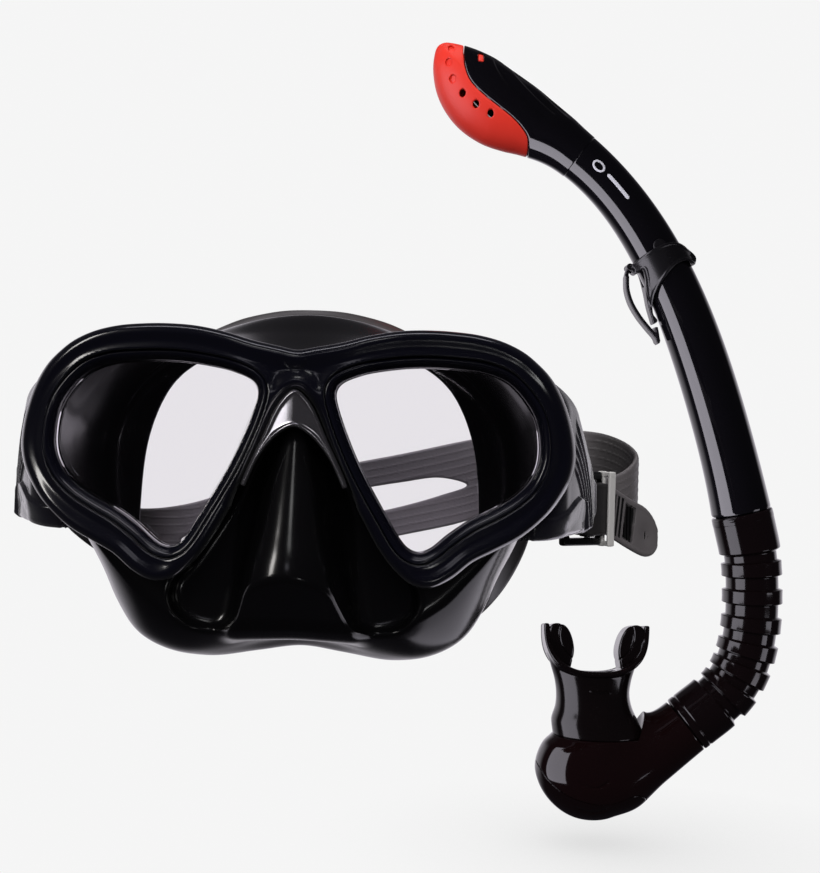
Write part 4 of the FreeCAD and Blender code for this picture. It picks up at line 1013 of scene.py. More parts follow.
def build_buckle(buckle):
    """The buckle with its clamp bar, its knurled roller and the roller's pin."""
    tag, left = buckle.tag, buckle.side > 0

    def buckle_field(x, y, z):
        u, n, w = buckle.local(x, y, z)
        field = round_box(u - 8.0, n, w, 8.0, 1.5, BUCKLE_HALF_Z, 1.0)
        window = round_box(u - 9.0, n, w, 6.4, 9, BUCKLE_HALF_Z - BUCKLE_BAR, 0.8)
        field = cut(field, window, 0.5)
        out, from_pivot = x * buckle.side - HUB_X, np.hypot(y, z)
        hub = soft_max(from_pivot - 5.4, slab(out, 1.6), 0.9)
        rim = np.maximum(slab(from_pivot - 3.6, 0.35), slab(out, 1.8))
        hub = soft_min(hub, rim, 0.2)
        web = round_box(out, y - 5.75, w, 1.6, 5.75, buckle.web_half_z, 0.8)
        field = soft_min(field, soft_min(hub, web, 1.5), 1.0)
        return cut(field, from_pivot - 1.68, 0.2)

    sculpt("buckle_%s_cast" % tag, buckle_field, (buckle.box_x[0], -6, buckle.z - 13),
           (buckle.box_x[1], buckle.box_y, buckle.z + 13), 0.36,
           "strap_set", "buckle_" + tag, "buckle_black")

    def bar_field(x, y, z):
        u, n, w = buckle.local(x, y, z)
        field = round_box(u - 16.72, n, w, 0.68, 1.7, 12.45, 0.45)
        if not left:
            return field
        # a flat face over the band's tail, with a leg at each end
        face = round_box(u - 17.0, n - 4.75, w, 1.35, 0.55, 12.3, 0.35)
        legs = round_box(u - 16.9, n - 2.2, np.abs(w) - 11.5, 0.8, 3.0, 0.8, 0.35)
        return soft_min(soft_min(field, face, 0.2), legs, 0.4)

    centre = np.array([*(buckle.start + buckle.along * 16.7), buckle.z])
    centre[0] *= buckle.side
    sculpt("clamp_bar_%s_bent" % tag, bar_field,
           centre - [2.6, 6.4 if left else 2.2, 12.8],
           centre + [5.2 if left else 2.2, 2.6, 12.8], 0.24,
           "strap_set", "clamp_bar_" + tag, "buckle_bar")
    axle = np.array([buckle.roller[0] * buckle.side, buckle.roller[1], buckle.z])

    def roller_field(x, y, z):
        x, y, z = x - axle[0], y - axle[1], z - axle[2]
        radius = np.hypot(x, y)
        knurl = 0.20 * np.cos(14 * np.arctan2(y, x)) * np.clip(radius / 2.0, 0, 1)
        field = soft_max((radius - 2.34 - knurl) * 0.85, slab(z, 9.3), 0.35)
        return cut(field, radius - 1.06, 0.12)

    sculpt("strap_roller_%s_knurled" % tag, roller_field, axle - [2.8, 2.8, 9.6],
           axle + [2.8, 2.8, 9.6], 0.2, "roller_" + tag, "strap_roller_" + tag,
           "roller_black")
    turn("roller_pin_%s_turned" % tag, ROLLER_PIN, (axle[0], axle[1], buckle.z - 11.15),
         (0, 0, 1), "strap_set", "roller_pin_" + tag, "pin_steel", segments=24)


build_buckle(LEFT)
build_buckle(RIGHT)

# ============================================================ head strap
STRAP_HEIGHT = 17.5
BEND = 4.05  # radius of the band's middle round a roller
# Left tail, from its free end: along, further across than the bend, z
LEFT_TAIL = [(27.0, -0.1, -12.4), (24.5, -0.1, -11.4), (21.0, -0.2, -9.9), (17.5, -0.5, -8.4),
             (13.5, -1.0, -6.4), (10.5, -1.2, -4.8), (7.6, -1.1, -3.3), (5.5, -1.1, -2.4)]
# Right tail, to its free end: along, further across than the bend, z, height
RIGHT_TAIL = [(3.5, 0, 2.0, 17.0), (8.0, 0.2, 1.0, 17.0), (13.0, 0.8, 0.0, 17.0),
              (18.0, 1.6, -1.0, 13.0)]
# Round the back of the head: x, y, z, height
ROUND_BACK = [
    (104.6, 25.0, 1.0, 17.5), (109.6, 29.5, 4.5, 17.5), (111.2, 34.5, 7.5, 17.5),
    (108.8, 40.5, 11.0, 17.5), (102.0, 46.0, 14.0, 17.5), (92.0, 51.5, 14.6, 18.5),
    (80.0, 57.0, 12.4, 21.5), (67.0, 62.5, 8.6, 26.5), (54.0, 67.0, 4.2, 30.0),
    (30.0, 71.0, -1.8, 30.5), (0.0, 72.5, -8.6, 31.0), (-28.0, 71.5, -15.5, 30.0),
    (-48.0, 67.5, -20.5, 27.0), (-63.0, 62.5, -20.5, 23.0), (-75.5, 55.0, -16.5, 19.0),
    (-83.0, 47.0, -10.5, 17.5), (-85.8, 39.0, -5.0, 17.5)]


def round_roller(buckle, direction):
    """Half a turn round the roller; direction 1 starts on its outer side, -1 inner."""
    turns = [math.pi * k / 8 for k in range(9)]
    return [(*buckle.point(-BEND * math.sin(a), direction * BEND * math.cos(a)), buckle.z,
             STRAP_HEIGHT) for a in turns]


def inner_run(buckle, places):
    return [(*buckle.point(u, -BEND), z, STRAP_HEIGHT) for u, z in places]


stations = [(*LEFT.point(u, BEND + n), z, 17.0) for u, n, z in LEFT_TAIL]
stations += round_roller(LEFT, 1) + inner_run(LEFT, ((4.0, -2.0), (8.0, -1.2)))
stations += ROUND_BACK
stations += inner_run(RIGHT, ((11.0, 0.0), (7.0, 1.5), (3.5, 2.0))) + round_roller(RIGHT, -1)
stations += [(*RIGHT.point(u, BEND + n), z, height) for u, n, z, height in RIGHT_TAIL]
strap_line = curve(stations, 900, closed=False)
strap_track = Track(strap_line[:, :2], 0.5, 9)
strap_s = arc_lengths(strap_line[:, :2])
strap_slope = np.gradient(strap_line[:, 2], strap_s)
# The long opening in the band's back part (x, z)
eye_outline = Outline(curve([
    (54.5, 2.6), (45, 5.0), (30, 2.8), (0, -3.2), (-28, -10.2), (-44, -16.5), (-50.5, -20.8),
    (-42, -22.8), (-28, -20.0), (0, -13.5), (30, -6.2), (45, -1.4)], 260), 0.5, 14)
TAIL_RADIUS = 7.6


def from_free_end(s):
    return np.minimum(s, strap_s[-1] - s)


def tail_slot(from_end, v):
    """The wide slot across each tail."""
    return np.maximum(slab(from_end + 0.10 * v - 12.4, 2.0), slab(v, 6.2))


def strap_field(x, y, z):
    offset, s = strap_track(x, y)
    v = z - np.interp(s, strap_s, strap_line[:, 2])
    half = np.interp(s, strap_s, strap_line[:, 3]) * 0.5
    slope = np.interp(s, strap_s, strap_slope)
    from_end = from_free_end(s)
    # the tails' ends are round
    inset = np.maximum(TAIL_RADIUS - from_end, 0)
    chord = np.sqrt(np.maximum(TAIL_RADIUS * TAIL_RADIUS - inset * inset, 0))
    half = np.where(from_end < TAIL_RADIUS, np.minimum(half, half - TAIL_RADIUS + chord), half)
    edge = slab(v, half) / np.sqrt(1 + slope * slope)
    # a raised rim on the tails, raised lines along the rest
    rim = (1 - ramp(1.2, 1.8, -edge)) * (1 - ramp(24.0, 28.0, from_end))
    lines = 0.10 * ramp(0.5, 0.95, np.cos(v * 2 * math.pi / 2.9)) * ramp(40, 60, from_end)
    thickness = 0.95 + 0.12 * rim + lines
    # a dimple near the tail's end
    dimple = np.exp(-(((from_end - 5.4) / 2.6) ** 2 + ((v + 1.0) / 3.6) ** 2))
    field = soft_max(np.abs(offset) - thickness + 0.75 * dimple, edge, 1.1)
    field = cut(field, np.where(y > 52, eye_outline(x, z), 9.0), 1.0)
    # the slots are blind: cut from each face, with a thin web left
    slot = soft_max(tail_slot(from_end, v), 0.30 - np.abs(offset), 0.1)
    field = cut(field, slot, 0.2)
    return soft_max(field, -from_end + 0.05, 0.6)


strap_low, strap_high = strap_line.min(0), strap_line.max(0)
strap = sculpt("head_strap_band", strap_field, (strap_low[0] - 2.5, strap_low[1] - 2.5, -37),
               (strap_high[0] + 2.5, strap_high[1] + 2.5, 26), 0.55,
               "strap_set", "head_strap", "strap_rubber")


def paint_strap(mesh):
    """Vertex values: the painted shade that darkens the slots, the band inside the buckle and
    the inside of the loop, and pale, painted light that lightens the back of the band.
    """
    x, y, z = (read_floats(mesh.vertices, "co", len(mesh.vertices)).astype(float) / MM).T
    offset, s = strap_track(x, y)
    from_end = from_free_end(s)
    slot = tail_slot(from_end, z - np.interp(s, strap_s, strap_line[:, 2]))
    # painted shade in the blind slots, darkening them as if they lay in shade
    pit = (1 - ramp(-0.45, 0.0, slot)) * (1 - ramp(0.62, 0.82, np.abs(offset)))
    # painted shade on the band where it runs inside the buckle
    in_buckle = 0.86 * ramp(20.6, 21.4, from_end) * (1 - ramp(44.0, 50.0, from_end))
    # painted shade on the inside of the loop near the buckle, where the mask would shade it
    inwards = strap_track.towards(107.5, 34.5)(x, y)
    in_loop = (0.72 * ramp(0.0, 0.5, inwards) * ramp(40.0, 46.0, from_end)
               * (1 - ramp(78.0, 96.0, from_end)))
    pit = np.maximum(np.maximum(pit, in_buckle), in_loop)
    # pale is painted light: the back part of the band is lightened
    for name, values in (("pit", pit), ("pale", ramp(84.0, 112.0, from_end))):
        attribute = mesh.attributes.new(name, "FLOAT", "POINT")
        attribute.data.foreach_set("value", values.astype(np.float32))


def shade_strap():
    """Use the painted shade and pale, the painted light, in the rubber, and paint three dark
    lines of painted shade, standing in for grooves, across the left tail.
    """
    tree = MATERIALS["strap_rubber"].node_tree
    place = add_node(tree, "TexCoord", {}).outputs["Object"]
    parts = add_node(tree, "SeparateXYZ", {0: place})
    x, y, z = [compute(tree, "MULTIPLY", parts.outputs[k], 1 / MM) for k in range(3)]
    x = compute(tree, "SUBTRACT", x, float(LEFT.roller[0]))
    y = compute(tree, "SUBTRACT", y, float(LEFT.roller[1]))

    def project(axis):
        return compute(tree, "ADD", compute(tree, "MULTIPLY", x, float(axis[0])),
                       compute(tree, "MULTIPLY", y, float(axis[1])))

    along, across = project(LEFT.along), project(LEFT.across)
    # height above the tail's middle line
    height = compute(tree, "ADD", z, compute(tree, "MULTIPLY_ADD", along, 0.40, 0.7))
    # three dark lines of painted shade across the left tail, standing in for grooves
    grooves = None
    for groove_at in (7.9, 9.5, 11.1):
        leaning = compute(tree, "MULTIPLY_ADD", height, -0.10, along)
        away = compute(tree, "ABSOLUTE", compute(tree, "SUBTRACT", leaning, groove_at))
        groove = compute(tree, "LESS_THAN", away, 0.44)
        grooves = groove if grooves is None else compute(tree, "MAXIMUM", grooves, groove)
    within = compute(tree, "LESS_THAN", compute(tree, "ABSOLUTE", height), 6.9)
    grooves = compute(tree, "MULTIPLY", grooves, within)
    outside = compute(tree, "GREATER_THAN", across, 1.0)
    grooves = compute(tree, "MULTIPLY", grooves, outside)
    base = tree.nodes["Principled BSDF"].inputs["Base Color"]
    pale = add_node(tree, "Attribute", {}, attribute_name="pale").outputs["Fac"]
    # the painted shade from the vertex values
    pit = add_node(tree, "Attribute", {}, attribute_name="pit").outputs["Fac"]
    # pale mixes in a lighter grey: painted light on the back of the band
    color = mix_color(tree, pale, base.links[0].from_socket, (0.34, 0.32, 0.34, 1))
    # the painted shade and the painted groove lines darken the colour to near black
    dark = compute(tree, "MAXIMUM", pit, grooves)
    tree.links.new(mix_color(tree, dark, color, (0.006, 0.006, 0.006, 1)), base)


paint_strap(strap.data)
shade_strap()

# ============================================================ snorkel tube
# Stations down the barrel: x, z, radius
TUBE = np.array([
    (101.4, 140.4, 10.1), (111.5, 131.2, 9.95), (119.4, 122.9, 9.95), (126.0, 114.6, 10.05),
    (131.9, 106.1, 10.3), (137.6, 95.6, 10.65), (142.9, 85.0, 11.0), (148.7, 72.8, 11.3),
    (153.7, 60.3, 11.4), (158.3, 47.5, 11.5), (163.7, 30.6, 11.7), (168.7, 13.9, 11.9),
    (172.6, -1.5, 12.3), (174.2, -7.9, 12.45)])
FIT_DEGREES = (5, 5, 4)  # of the polynomials for x, z and radius
station_s = arc_lengths(TUBE[:, :2])
fine_s = np.linspace(0, station_s[-1], 260)
barrel = np.stack([np.polyval(np.polyfit(station_s, column, degree), fine_s)
                   for column, degree in zip(TUBE.T, FIT_DEGREES)], 1)
barrel_path = barrel[:, :2].copy()
barrel_s = arc_lengths(barrel_path)
tube_length = barrel_s[-1]
barrel_track = Track(barrel_path, 0.5, 24)


def tube_profile():
    """The outside, the spigot into the hose, the bore, and the spigot into the housing."""
    s = np.concatenate([[0.0, 0.25, 0.7], np.linspace(1.4, tube_length - 1.2, 190),
                        [tube_length - 0.7, tube_length - 0.25, tube_length]])
    radius = np.interp(s, barrel_s, barrel[:, 2])
    radius -= np.where(s < 0.3, 0.15 * (1 - s / 0.3), 0)
    radius -= np.where(s > tube_length - 0.4, 0.25, 0)
    spigot = [(tube_length, 10.85), (tube_length + 8, 10.85), (tube_length + 14.5, 10.85),
              (tube_length + 14.5, 9.2)]
    bore_s = np.linspace(tube_length, 5.0, 60)
    bore = np.interp(bore_s, [5.0, 14.0, tube_length * 0.5, tube_length], [6.6, 8.0, 9.2, 9.4])
    top_spigot = [(-6, 6.4), (-6, 7.4), (-0.1, 7.4)]
    return np.vstack([np.stack([s, radius], 1), spigot, np.stack([bore_s, bore], 1),
                      top_spigot])


tube = sweep("snorkel_tube_barrel", barrel_path, tube_profile(), "tube_gloss", 96)
attach(tube, "snorkel", "snorkel_tube")

# ============================================================ housing and splash cap
top = barrel_path[0]
down = barrel_path[1] - top
down /= np.linalg.norm(down)
sideways = np.array([-down[1], down[0]])
top_radius = barrel[0, 2]


def beside_top(along, radius):
    return tuple(top + down * along + sideways * radius)


# Outline of the head (x, z), open towards the barrel
HEAD = [beside_top(13.0, top_radius), beside_top(5.0, top_radius),
        beside_top(0.0, top_radius + 0.02),
        (103.0, 152.2), (98.7, 156), (93.5, 160.1), (88.3, 164.2), (83.1, 168.3),
        (77.1, 172.4), (71, 176.4), (65.2, 180.3), (58.6, 183.4), (51.3, 185.9),
        (46.0, 187.0), (42.7, 187.0), (40.0, 185.2), (38.6, 179.4), (38.8, 172.6),
        (40.7, 164.8), (44.9, 157.1), (51, 150.5), (59.9, 145), (68.6, 142.2), (76.0, 140.7),
        (84, 138.4), (89.6, 135.9),
        beside_top(0.0, -top_radius - 0.02), beside_top(5.0, -top_radius),
        beside_top(13.0, -top_radius)]
head_outline = Outline(curve(HEAD, 420, closed=False), 0.4, 12)
# The head's axis: x, z, edge radius, depth as a share of that radius
head_axis = curve([
    (*(top + down * 14.0), top_radius, 1.0), (*top, top_radius, 1.0),
    (95.8, 144.4, 10.9, 1.0), (85.2, 150.6, 13.0, 0.95), (74.6, 157.4, 15.6, 0.88),
    (63.5, 164.9, 17.0, 0.83), (53.2, 172.3, 15.0, 0.84), (46.6, 178.6, 10.6, 0.9),
    (43.0, 183.4, 5.6, 0.92)], 300, closed=False)
head_track = Track(head_axis[:, :2], 0.5, 26)
head_s = arc_lengths(head_axis[:, :2])
# The seam between cap and housing (x, z); housing_side is positive on the housing's side
housing_side = Track(curve([
    (51.0, 200.0), (51.2, 186.0), (51.0, 179.7), (52.0, 173.0), (54.3, 168.0), (59.4, 162.8),
    (65.6, 158.1), (71.7, 153.6), (76.0, 149.5), (78.5, 145.9), (79.3, 139.9),
    (79.6, 120.0)], 200, closed=False), 0.4, 44).towards(90.0, 160.0)
STEP_LINES = [
    [(63.6, 181.3), (64.6, 176.0), (68.0, 169.5), (73.0, 163.4), (80, 157.6), (88.2, 151.5)],
    [(71.2, 176.9), (74.4, 171.2), (80.0, 164.6), (86.0, 159.0), (92.2, 154.2)],
    [(80.0, 171.0), (84.0, 167.2), (90.0, 160.8), (97.4, 154.2)]]
step_tracks = [Track(curve(line, 80, closed=False), 0.35, 6) for line in STEP_LINES]
# Holes in the cap (x, z); the first three are blind dimples
HOLES = [(45.8, 183.2), (44.8, 176.9), (46.7, 169.5), (50.9, 163.4), (56.6, 158.8),
         (62.7, 155.0)]
BLIND_HOLES = 3
WINDOW_X, WINDOW_Z = 58.2, 179.1


def head_field(x, y, z):
    s = head_track(x, z)[1]
    radius, depth = (np.interp(s, head_s, head_axis[:, k]) for k in (2, 3))
    out = radius + head_outline(x, z)
    out = np.where(out > 0, np.sqrt(out * out + 0.3) - 0.2, 0.35 * np.exp(np.minimum(out, 0)))
    return (np.sqrt(out * out + (y / depth) ** 2) - radius) * 0.9


def housing_field(x, y, z):
    outer = head_field(x, y, z)
    sunk = 0
    for track in step_tracks:
        offset, s = track(x, z)
        fade = ramp(0, 5, s) * ramp(0, 6, track.length - s)
        # a step: steep on one side, fading on the other
        sunk = sunk + fade * 0.62 * np.where(offset > 0, bell(offset, 3.2), bell(offset, 0.42))
    field = outer + sunk * ramp(2.0, 5.0, np.abs(y))
    field = soft_max(field, -housing_side(x, z) + 0.12, 0.5)
    window = round_box(x - WINDOW_X, 0.0, z - WINDOW_Z, 1.4, 9, 2.3, 1.1)
    field = hollow(cut(field, window, 0.3), outer)
    end = (x - top[0]) * down[0] + (z - top[1]) * down[1]
    return soft_max(field, end + 0.02, 0.12)


def cap_field(x, y, z):
    outer = head_field(x, y, z)
    field = soft_max(outer + 0.12, housing_side(x, z) + 0.12, 0.7)
    for k, (hole_x, hole_z) in enumerate(HOLES):
        hole = np.hypot((x - hole_x) * 1.12, (z - hole_z) * 0.86) - 1.45
        if k < BLIND_HOLES:
            hole = cut(hole, outer + 1.1, 0.2)
        field = cut(field, hole, 0.4)
    field = hollow(field, outer)
    # a tongue to the housing's window, a nub in the window, and the tongue's root
    up = z - WINDOW_Z
    tongue = np.maximum(np.maximum(slab(x - 55.2, 4.6), slab(up, 1.8)), slab(outer + 2.95, 0.75))
    nub = np.maximum(slab(x - WINDOW_X, 1.15), slab(up, 2.0))
    nub = soft_max(nub, slab(outer + 1.6, 1.1), 0.5)
    root = np.maximum(np.maximum(slab(x - 49.6, 1.2), slab(up, 1.8)), slab(outer + 2.3, 1.4))
    return np.minimum(np.minimum(field, tongue), np.minimum(nub, root))


sculpt_snorkel("top_housing_shell", housing_field, (49, 112.5), 15.5, (128, 188), 0.42,
               "snorkel", "top_housing", "tube_gloss")
sculpt_snorkel("splash_cap_shell", cap_field, (36.5, 81), 15.5, (138, 189), 0.5,
               "snorkel", "splash_cap", "cap_red")

# ============================================================ strap keeper
# Outline (x, z) of the band round the tube, with its hook
band_outline = Outline(curve([
    (146.96, 102.72), (141.7, 104.16), (137.34, 103.37), (131.66, 100.54), (127.6, 97.75),
    (124.64, 94.91), (124.07, 92.68), (126.0, 91.07), (128.25, 92.59), (129.5, 89.7),
    (130.58, 83.89), (131.57, 78.49), (133.22, 73.11), (134.38, 70.3), (135.77, 71.51),
    (134.11, 74.18), (133.43, 77.5), (133.64, 81.89), (134.65, 84.75), (136.48, 88.02),
    (138.96, 91.72), (141.97, 94.73), (145.47, 96.5), (148.6, 96.29), (150.71, 95.72),
    (151.46, 98.67)], 420), 0.3, 12)
gate_track = Track(curve([
    (123.7, 94.0), (122.75, 91.2), (122.7, 88.5), (123.0, 84.5), (124.8, 79.0), (128.3, 73.3),
    (132.2, 68.6), (135.4, 65.0), (136.8, 62.6)], 160, closed=False), 0.3, 6)
prong_track = Track(curve([(136.4, 62.8), (136.1, 66.0), (135.4, 69.0)], 40, closed=False),
                    0.3, 6)
TAB_X, TAB_Z = 134.57, 102.29
GATE_X, GATE_Z = 123.7, 94.0  # the gate's hinge


def keeper_field(x, y, z):
    offset, s = barrel_track(x, z)
    off_tube = np.hypot(offset, y) - np.interp(s, barrel_s, barrel[:, 2])
    edge = band_outline(x, z)
    band = soft_max(slab(off_tube - 1.12, 0.72), edge, 0.5)
    rim = soft_max(np.hypot(off_tube - 1.55, edge + 0.75) - 0.62, edge, 0.2)
    band = soft_min(band, rim, 0.3)
    plate = soft_max(soft_max(edge, slab(y, 4.0), 0.8), off_tube - 14.0, 0.5)
    plate = cut(plate, off_tube - 0.4, 0.3)
    # a round tab on the front face
    tab = soft_max(slab(off_tube - 1.0, 0.55), np.hypot(x - TAB_X, z - TAB_Z) - 2.7, 0.3)
    tab = soft_max(tab, y, 0.2)
    field = soft_min(soft_min(band, plate, 0.5), tab, 0.2)
    field = cut(field, off_tube - 0.33, 0.2)
    # room for the gate, and two knuckles with a bore
    from_hinge = np.hypot(x - GATE_X, z - GATE_Z)
    field = cut(field, soft_max(from_hinge - 2.3, slab(y, 2.1), 0.2), 0.3)
    passage = np.maximum(np.maximum(slab(x - 122.7, 1.5), slab(z - 91.4, 3.0)), slab(y, 2.1))
    field = cut(field, passage, 0.3)
    knuckles = soft_max(from_hinge - 1.5, slab(np.abs(y) - 3.05, 0.95), 0.3)
    field = soft_min(field, knuckles, 0.2)
    return cut(field, from_hinge - 0.62, 0.15)


def gate_field(x, y, z):
    offset, s = gate_track(x, z)
    half = np.interp(s, [0, 3.2, 4.2, 60], [1.9, 1.9, 4.0, 4.0])
    strip = soft_max(slab(offset, 0.8), slab(y, half), 0.6)
    strip = soft_max(strip, 0.1 - s, 0.3)
    strip = soft_max(strip, s - gate_track.length + 0.1, 0.6)
    offset, s = prong_track(x, z)
    ends = np.maximum(0.02 - s, s - prong_track.length + 0.02)
    prong = soft_max(soft_max(slab(offset, 0.65), slab(y, 4.0), 0.5), ends, 0.4)
    from_hinge = np.hypot(x - GATE_X, z - GATE_Z)
    knuckle = soft_max(from_hinge - 1.45, slab(y, 1.9), 0.3)
    pin = soft_max(from_hinge - 0.55, slab(y, 3.8), 0.1)
    field = soft_min(strip, prong, 0.6)
    field = cut(field, cut(from_hinge - 2.0, slab(y, 1.95), 0.1), 0.2)
    return np.minimum(soft_min(field, knuckle, 0.4), pin)


sculpt_snorkel("keeper_ring_band", keeper_field, (120.5, 155.5), 13.8, (66, 107.5), 0.36,
               "keeper", "keeper_ring", "keeper_black")
sculpt_snorkel("keeper_gate_strip", gate_field, (120.8, 139), 4.6, (61, 96.5), 0.3,
               "keeper_gate", "keeper_gate", "keeper_black")

# ============================================================ flex hose
hose_path = curve([
    (174.35, -8.35), (176.3, -16.0), (178.2, -24.0), (179.2, -31.7), (179.8, -43.5),
    (179.6, -54.9), (178.2, -65.6), (175.3, -75.0), (170.5, -83.3), (164.4, -89.6),
    (158.4, -94.6), (153.3, -98.8)], 400, closed=False)
hose_s = arc_lengths(hose_path)
hose_length = hose_s[-1]
RIB_PLACES = [(179.25, -31.7), (179.8, -43.3), (179.6, -54.9), (178.2, -65.6),
              (175.3, -75.0), (170.3, -83.6)]
HOSE_RADIUS, HOSE_BORE, CUFF_BORE, HOSE_MAX = 10.9, 9.3, 11.0, 12.95
RIB_HALF, RIB_HEIGHT = 2.9, 1.62
HOSE_ROUNDING = 0.9


def hose_length_at(x, z):
    return hose_s[np.argmin((hose_path[:, 0] - x) ** 2 + (hose_path[:, 1] - z) ** 2)]


upper_cuff = hose_length_at(178.25, -24.4)  # where the cuffs end
lower_cuff = hose_length_at(165.3, -88.8)
ribs = [hose_length_at(*place) for place in RIB_PLACES]


def hose_radius(s):
    radius = HOSE_RADIUS
    for rib in ribs:
        rise = ramp(-(RIB_HALF + 0.45), -(RIB_HALF - 0.25), s - rib)
        level = rise * (1 - ramp(RIB_HALF - 0.25, RIB_HALF + 0.45, s - rib))
        crown = 0.10 * level * ((s - rib) / RIB_HALF) ** 2
        radius = max(radius, HOSE_RADIUS + RIB_HEIGHT * level + crown)
    upper = 1 - ramp(upper_cuff - 0.5, upper_cuff + 0.8, s)
    radius = max(radius, HOSE_RADIUS + upper * (2.0 - 0.1 * s / upper_cuff))
    lower = ramp(lower_cuff - 0.8, lower_cuff + 0.5, s)
    radius = max(radius, HOSE_RADIUS + lower * 1.75)
    for from_end in (s, hose_length - s):
        if from_end < HOSE_ROUNDING:
            square = HOSE_ROUNDING**2 - (HOSE_ROUNDING - from_end) ** 2
            radius -= HOSE_ROUNDING - math.sqrt(max(square, 0))
    # a thin raised line on the upper cuff, a fine groove on the lower
    radius += 0.18 * bell(s - 2.6, 0.55)
    radius -= 0.35 * bell(s - (hose_length - 3.2), 0.4)
    return min(radius, HOSE_MAX)


outside_s = np.concatenate([
    [0.0, 0.15, 0.45, 0.9], np.arange(1.4, hose_length - 1.2, 0.22),
    [hose_length - 0.9, hose_length - 0.45, hose_length - 0.15, hose_length]])
hose_profile = [(s, hose_radius(s)) for s in outside_s]
hose_profile += [(hose_length, CUFF_BORE), (lower_cuff + 1.0, CUFF_BORE)]
hose_profile += [(s, HOSE_BORE) for s in np.linspace(lower_cuff, upper_cuff, 40)]
hose_profile += [(upper_cuff - 0.8, CUFF_BORE), (0.0, CUFF_BORE)]
hose = sweep("flex_hose_bellows", hose_path, hose_profile, "hose_silicone", 84)
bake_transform(hose)
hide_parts("flex_hose")

# ============================================================ elbow and purge cover
NECK_X, NECK_Z = 153.15, -99.05  # the neck's mouth, in the hose
neck_direction = np.array([-0.766, -0.643])
neck_direction /= np.linalg.norm(neck_direction)
neck_radius = spline([0.0, 10.0, 20.0, 30.0, 38.0, 44.5],
                     [12.35, 12.6, 12.9, 13.1, 13.0, 12.6])
# The chamber by height: centre x, and half sizes in x and y
CHAMBER_Z = [-96.0, -99.0, -103.9, -108.0, -116.0, -124.0, -131.0, -136.0, -140.0]
chamber_x = spline(CHAMBER_Z, [117.2, 116.6, 115.9, 114.2, 113.2, 112.9, 113.0, 113.6, 114.6])
chamber_half_x = spline(CHAMBER_Z, [16.4, 17.4, 19.2, 21.4, 23.3, 22.4, 20.6, 18.6, 16.6])
chamber_half_y = spline(CHAMBER_Z, [13.6, 14.4, 15.6, 16.6, 17.4, 17.0, 15.8, 14.2, 12.6])
SWIVEL_X = 115.2  # axis the mouthpiece stands on
VALVE_X = 111.5
# The seam between elbow and cover (x, z); elbow_side is positive on the elbow's side
elbow_side = Track(curve([
    (80.0, -105.0), (86.0, -110.5), (89.8, -115.2), (95.0, -121.6), (102.0, -126.6),
    (109.0, -129.0), (116.0, -130.2), (122.0, -129.4), (127.0, -127.4), (131.0, -126.2),
    (134.8, -127.8), (138.0, -133.0), (143.0, -142.0)], 160, closed=False),
    0.4, 46).towards(113.0, -115.0)
# Two curved grooves on the front, one above the other
upper_groove = Track(curve([
    (105.64, -119.17), (108.58, -121.56), (113.14, -122.71), (117.22, -121.11),
    (119.82, -118.41)], 80, closed=False), 0.35, 6)
lower_groove = Track(curve([
    (105.31, -131.31), (108.88, -133.28), (113.04, -134.08), (117.56, -133.04),
    (120.8, -130.47)], 80, closed=False), 0.35, 6)


def front_groove(track, x, y, z):
    offset, s = track(x, z)
    return 0.42 * bell(offset, 0.5) * ramp(0, 3, s) * ramp(0, 3, track.length - s) * (y < 0)


def along_neck(x, y, z):
    """Distance along the neck's axis and from it."""
    x, z = x - NECK_X, z - NECK_Z
    along = x * neck_direction[0] + z * neck_direction[1]
    return along, np.sqrt(np.maximum(x * x + y * y + z * z - along * along, 0))


def chamber_field(x, y, z):
    """The outside of the elbow and its cover together."""
    half_x, half_y = chamber_half_x(z), chamber_half_y(z)
    u, v = (x - chamber_x(z)) / half_x, y / half_y
    level = np.sqrt(u * u + v * v)
    slope = np.sqrt((u / half_x) ** 2 + (v / half_y) ** 2) / np.maximum(level, 0.15)
    wall = (level - 1) / np.maximum(slope, 1 / 24.0) * 0.9
    wall = np.where(level < 0.15, -14.0, wall)
    bowl = -(z + 139.9 - 0.018 * ((x - 114.0) ** 2 + 1.35 * y * y)) * 0.80
    along, radius = along_neck(x, y, z)
    neck = soft_max(radius - neck_radius(along), along - 40.0, 8.0)
    field = soft_min(soft_max(wall, bowl, 9.0), neck, 9.0)
    field = soft_max(field, 0.12 - along, 0.5)
    # beside the mouthpiece's foot only the neck stays, outside the turning circle
    kept_free = np.minimum(z + 103.86, 19.75 - np.hypot(x - SWIVEL_X, y))
    return soft_max(field, kept_free, 0.8)


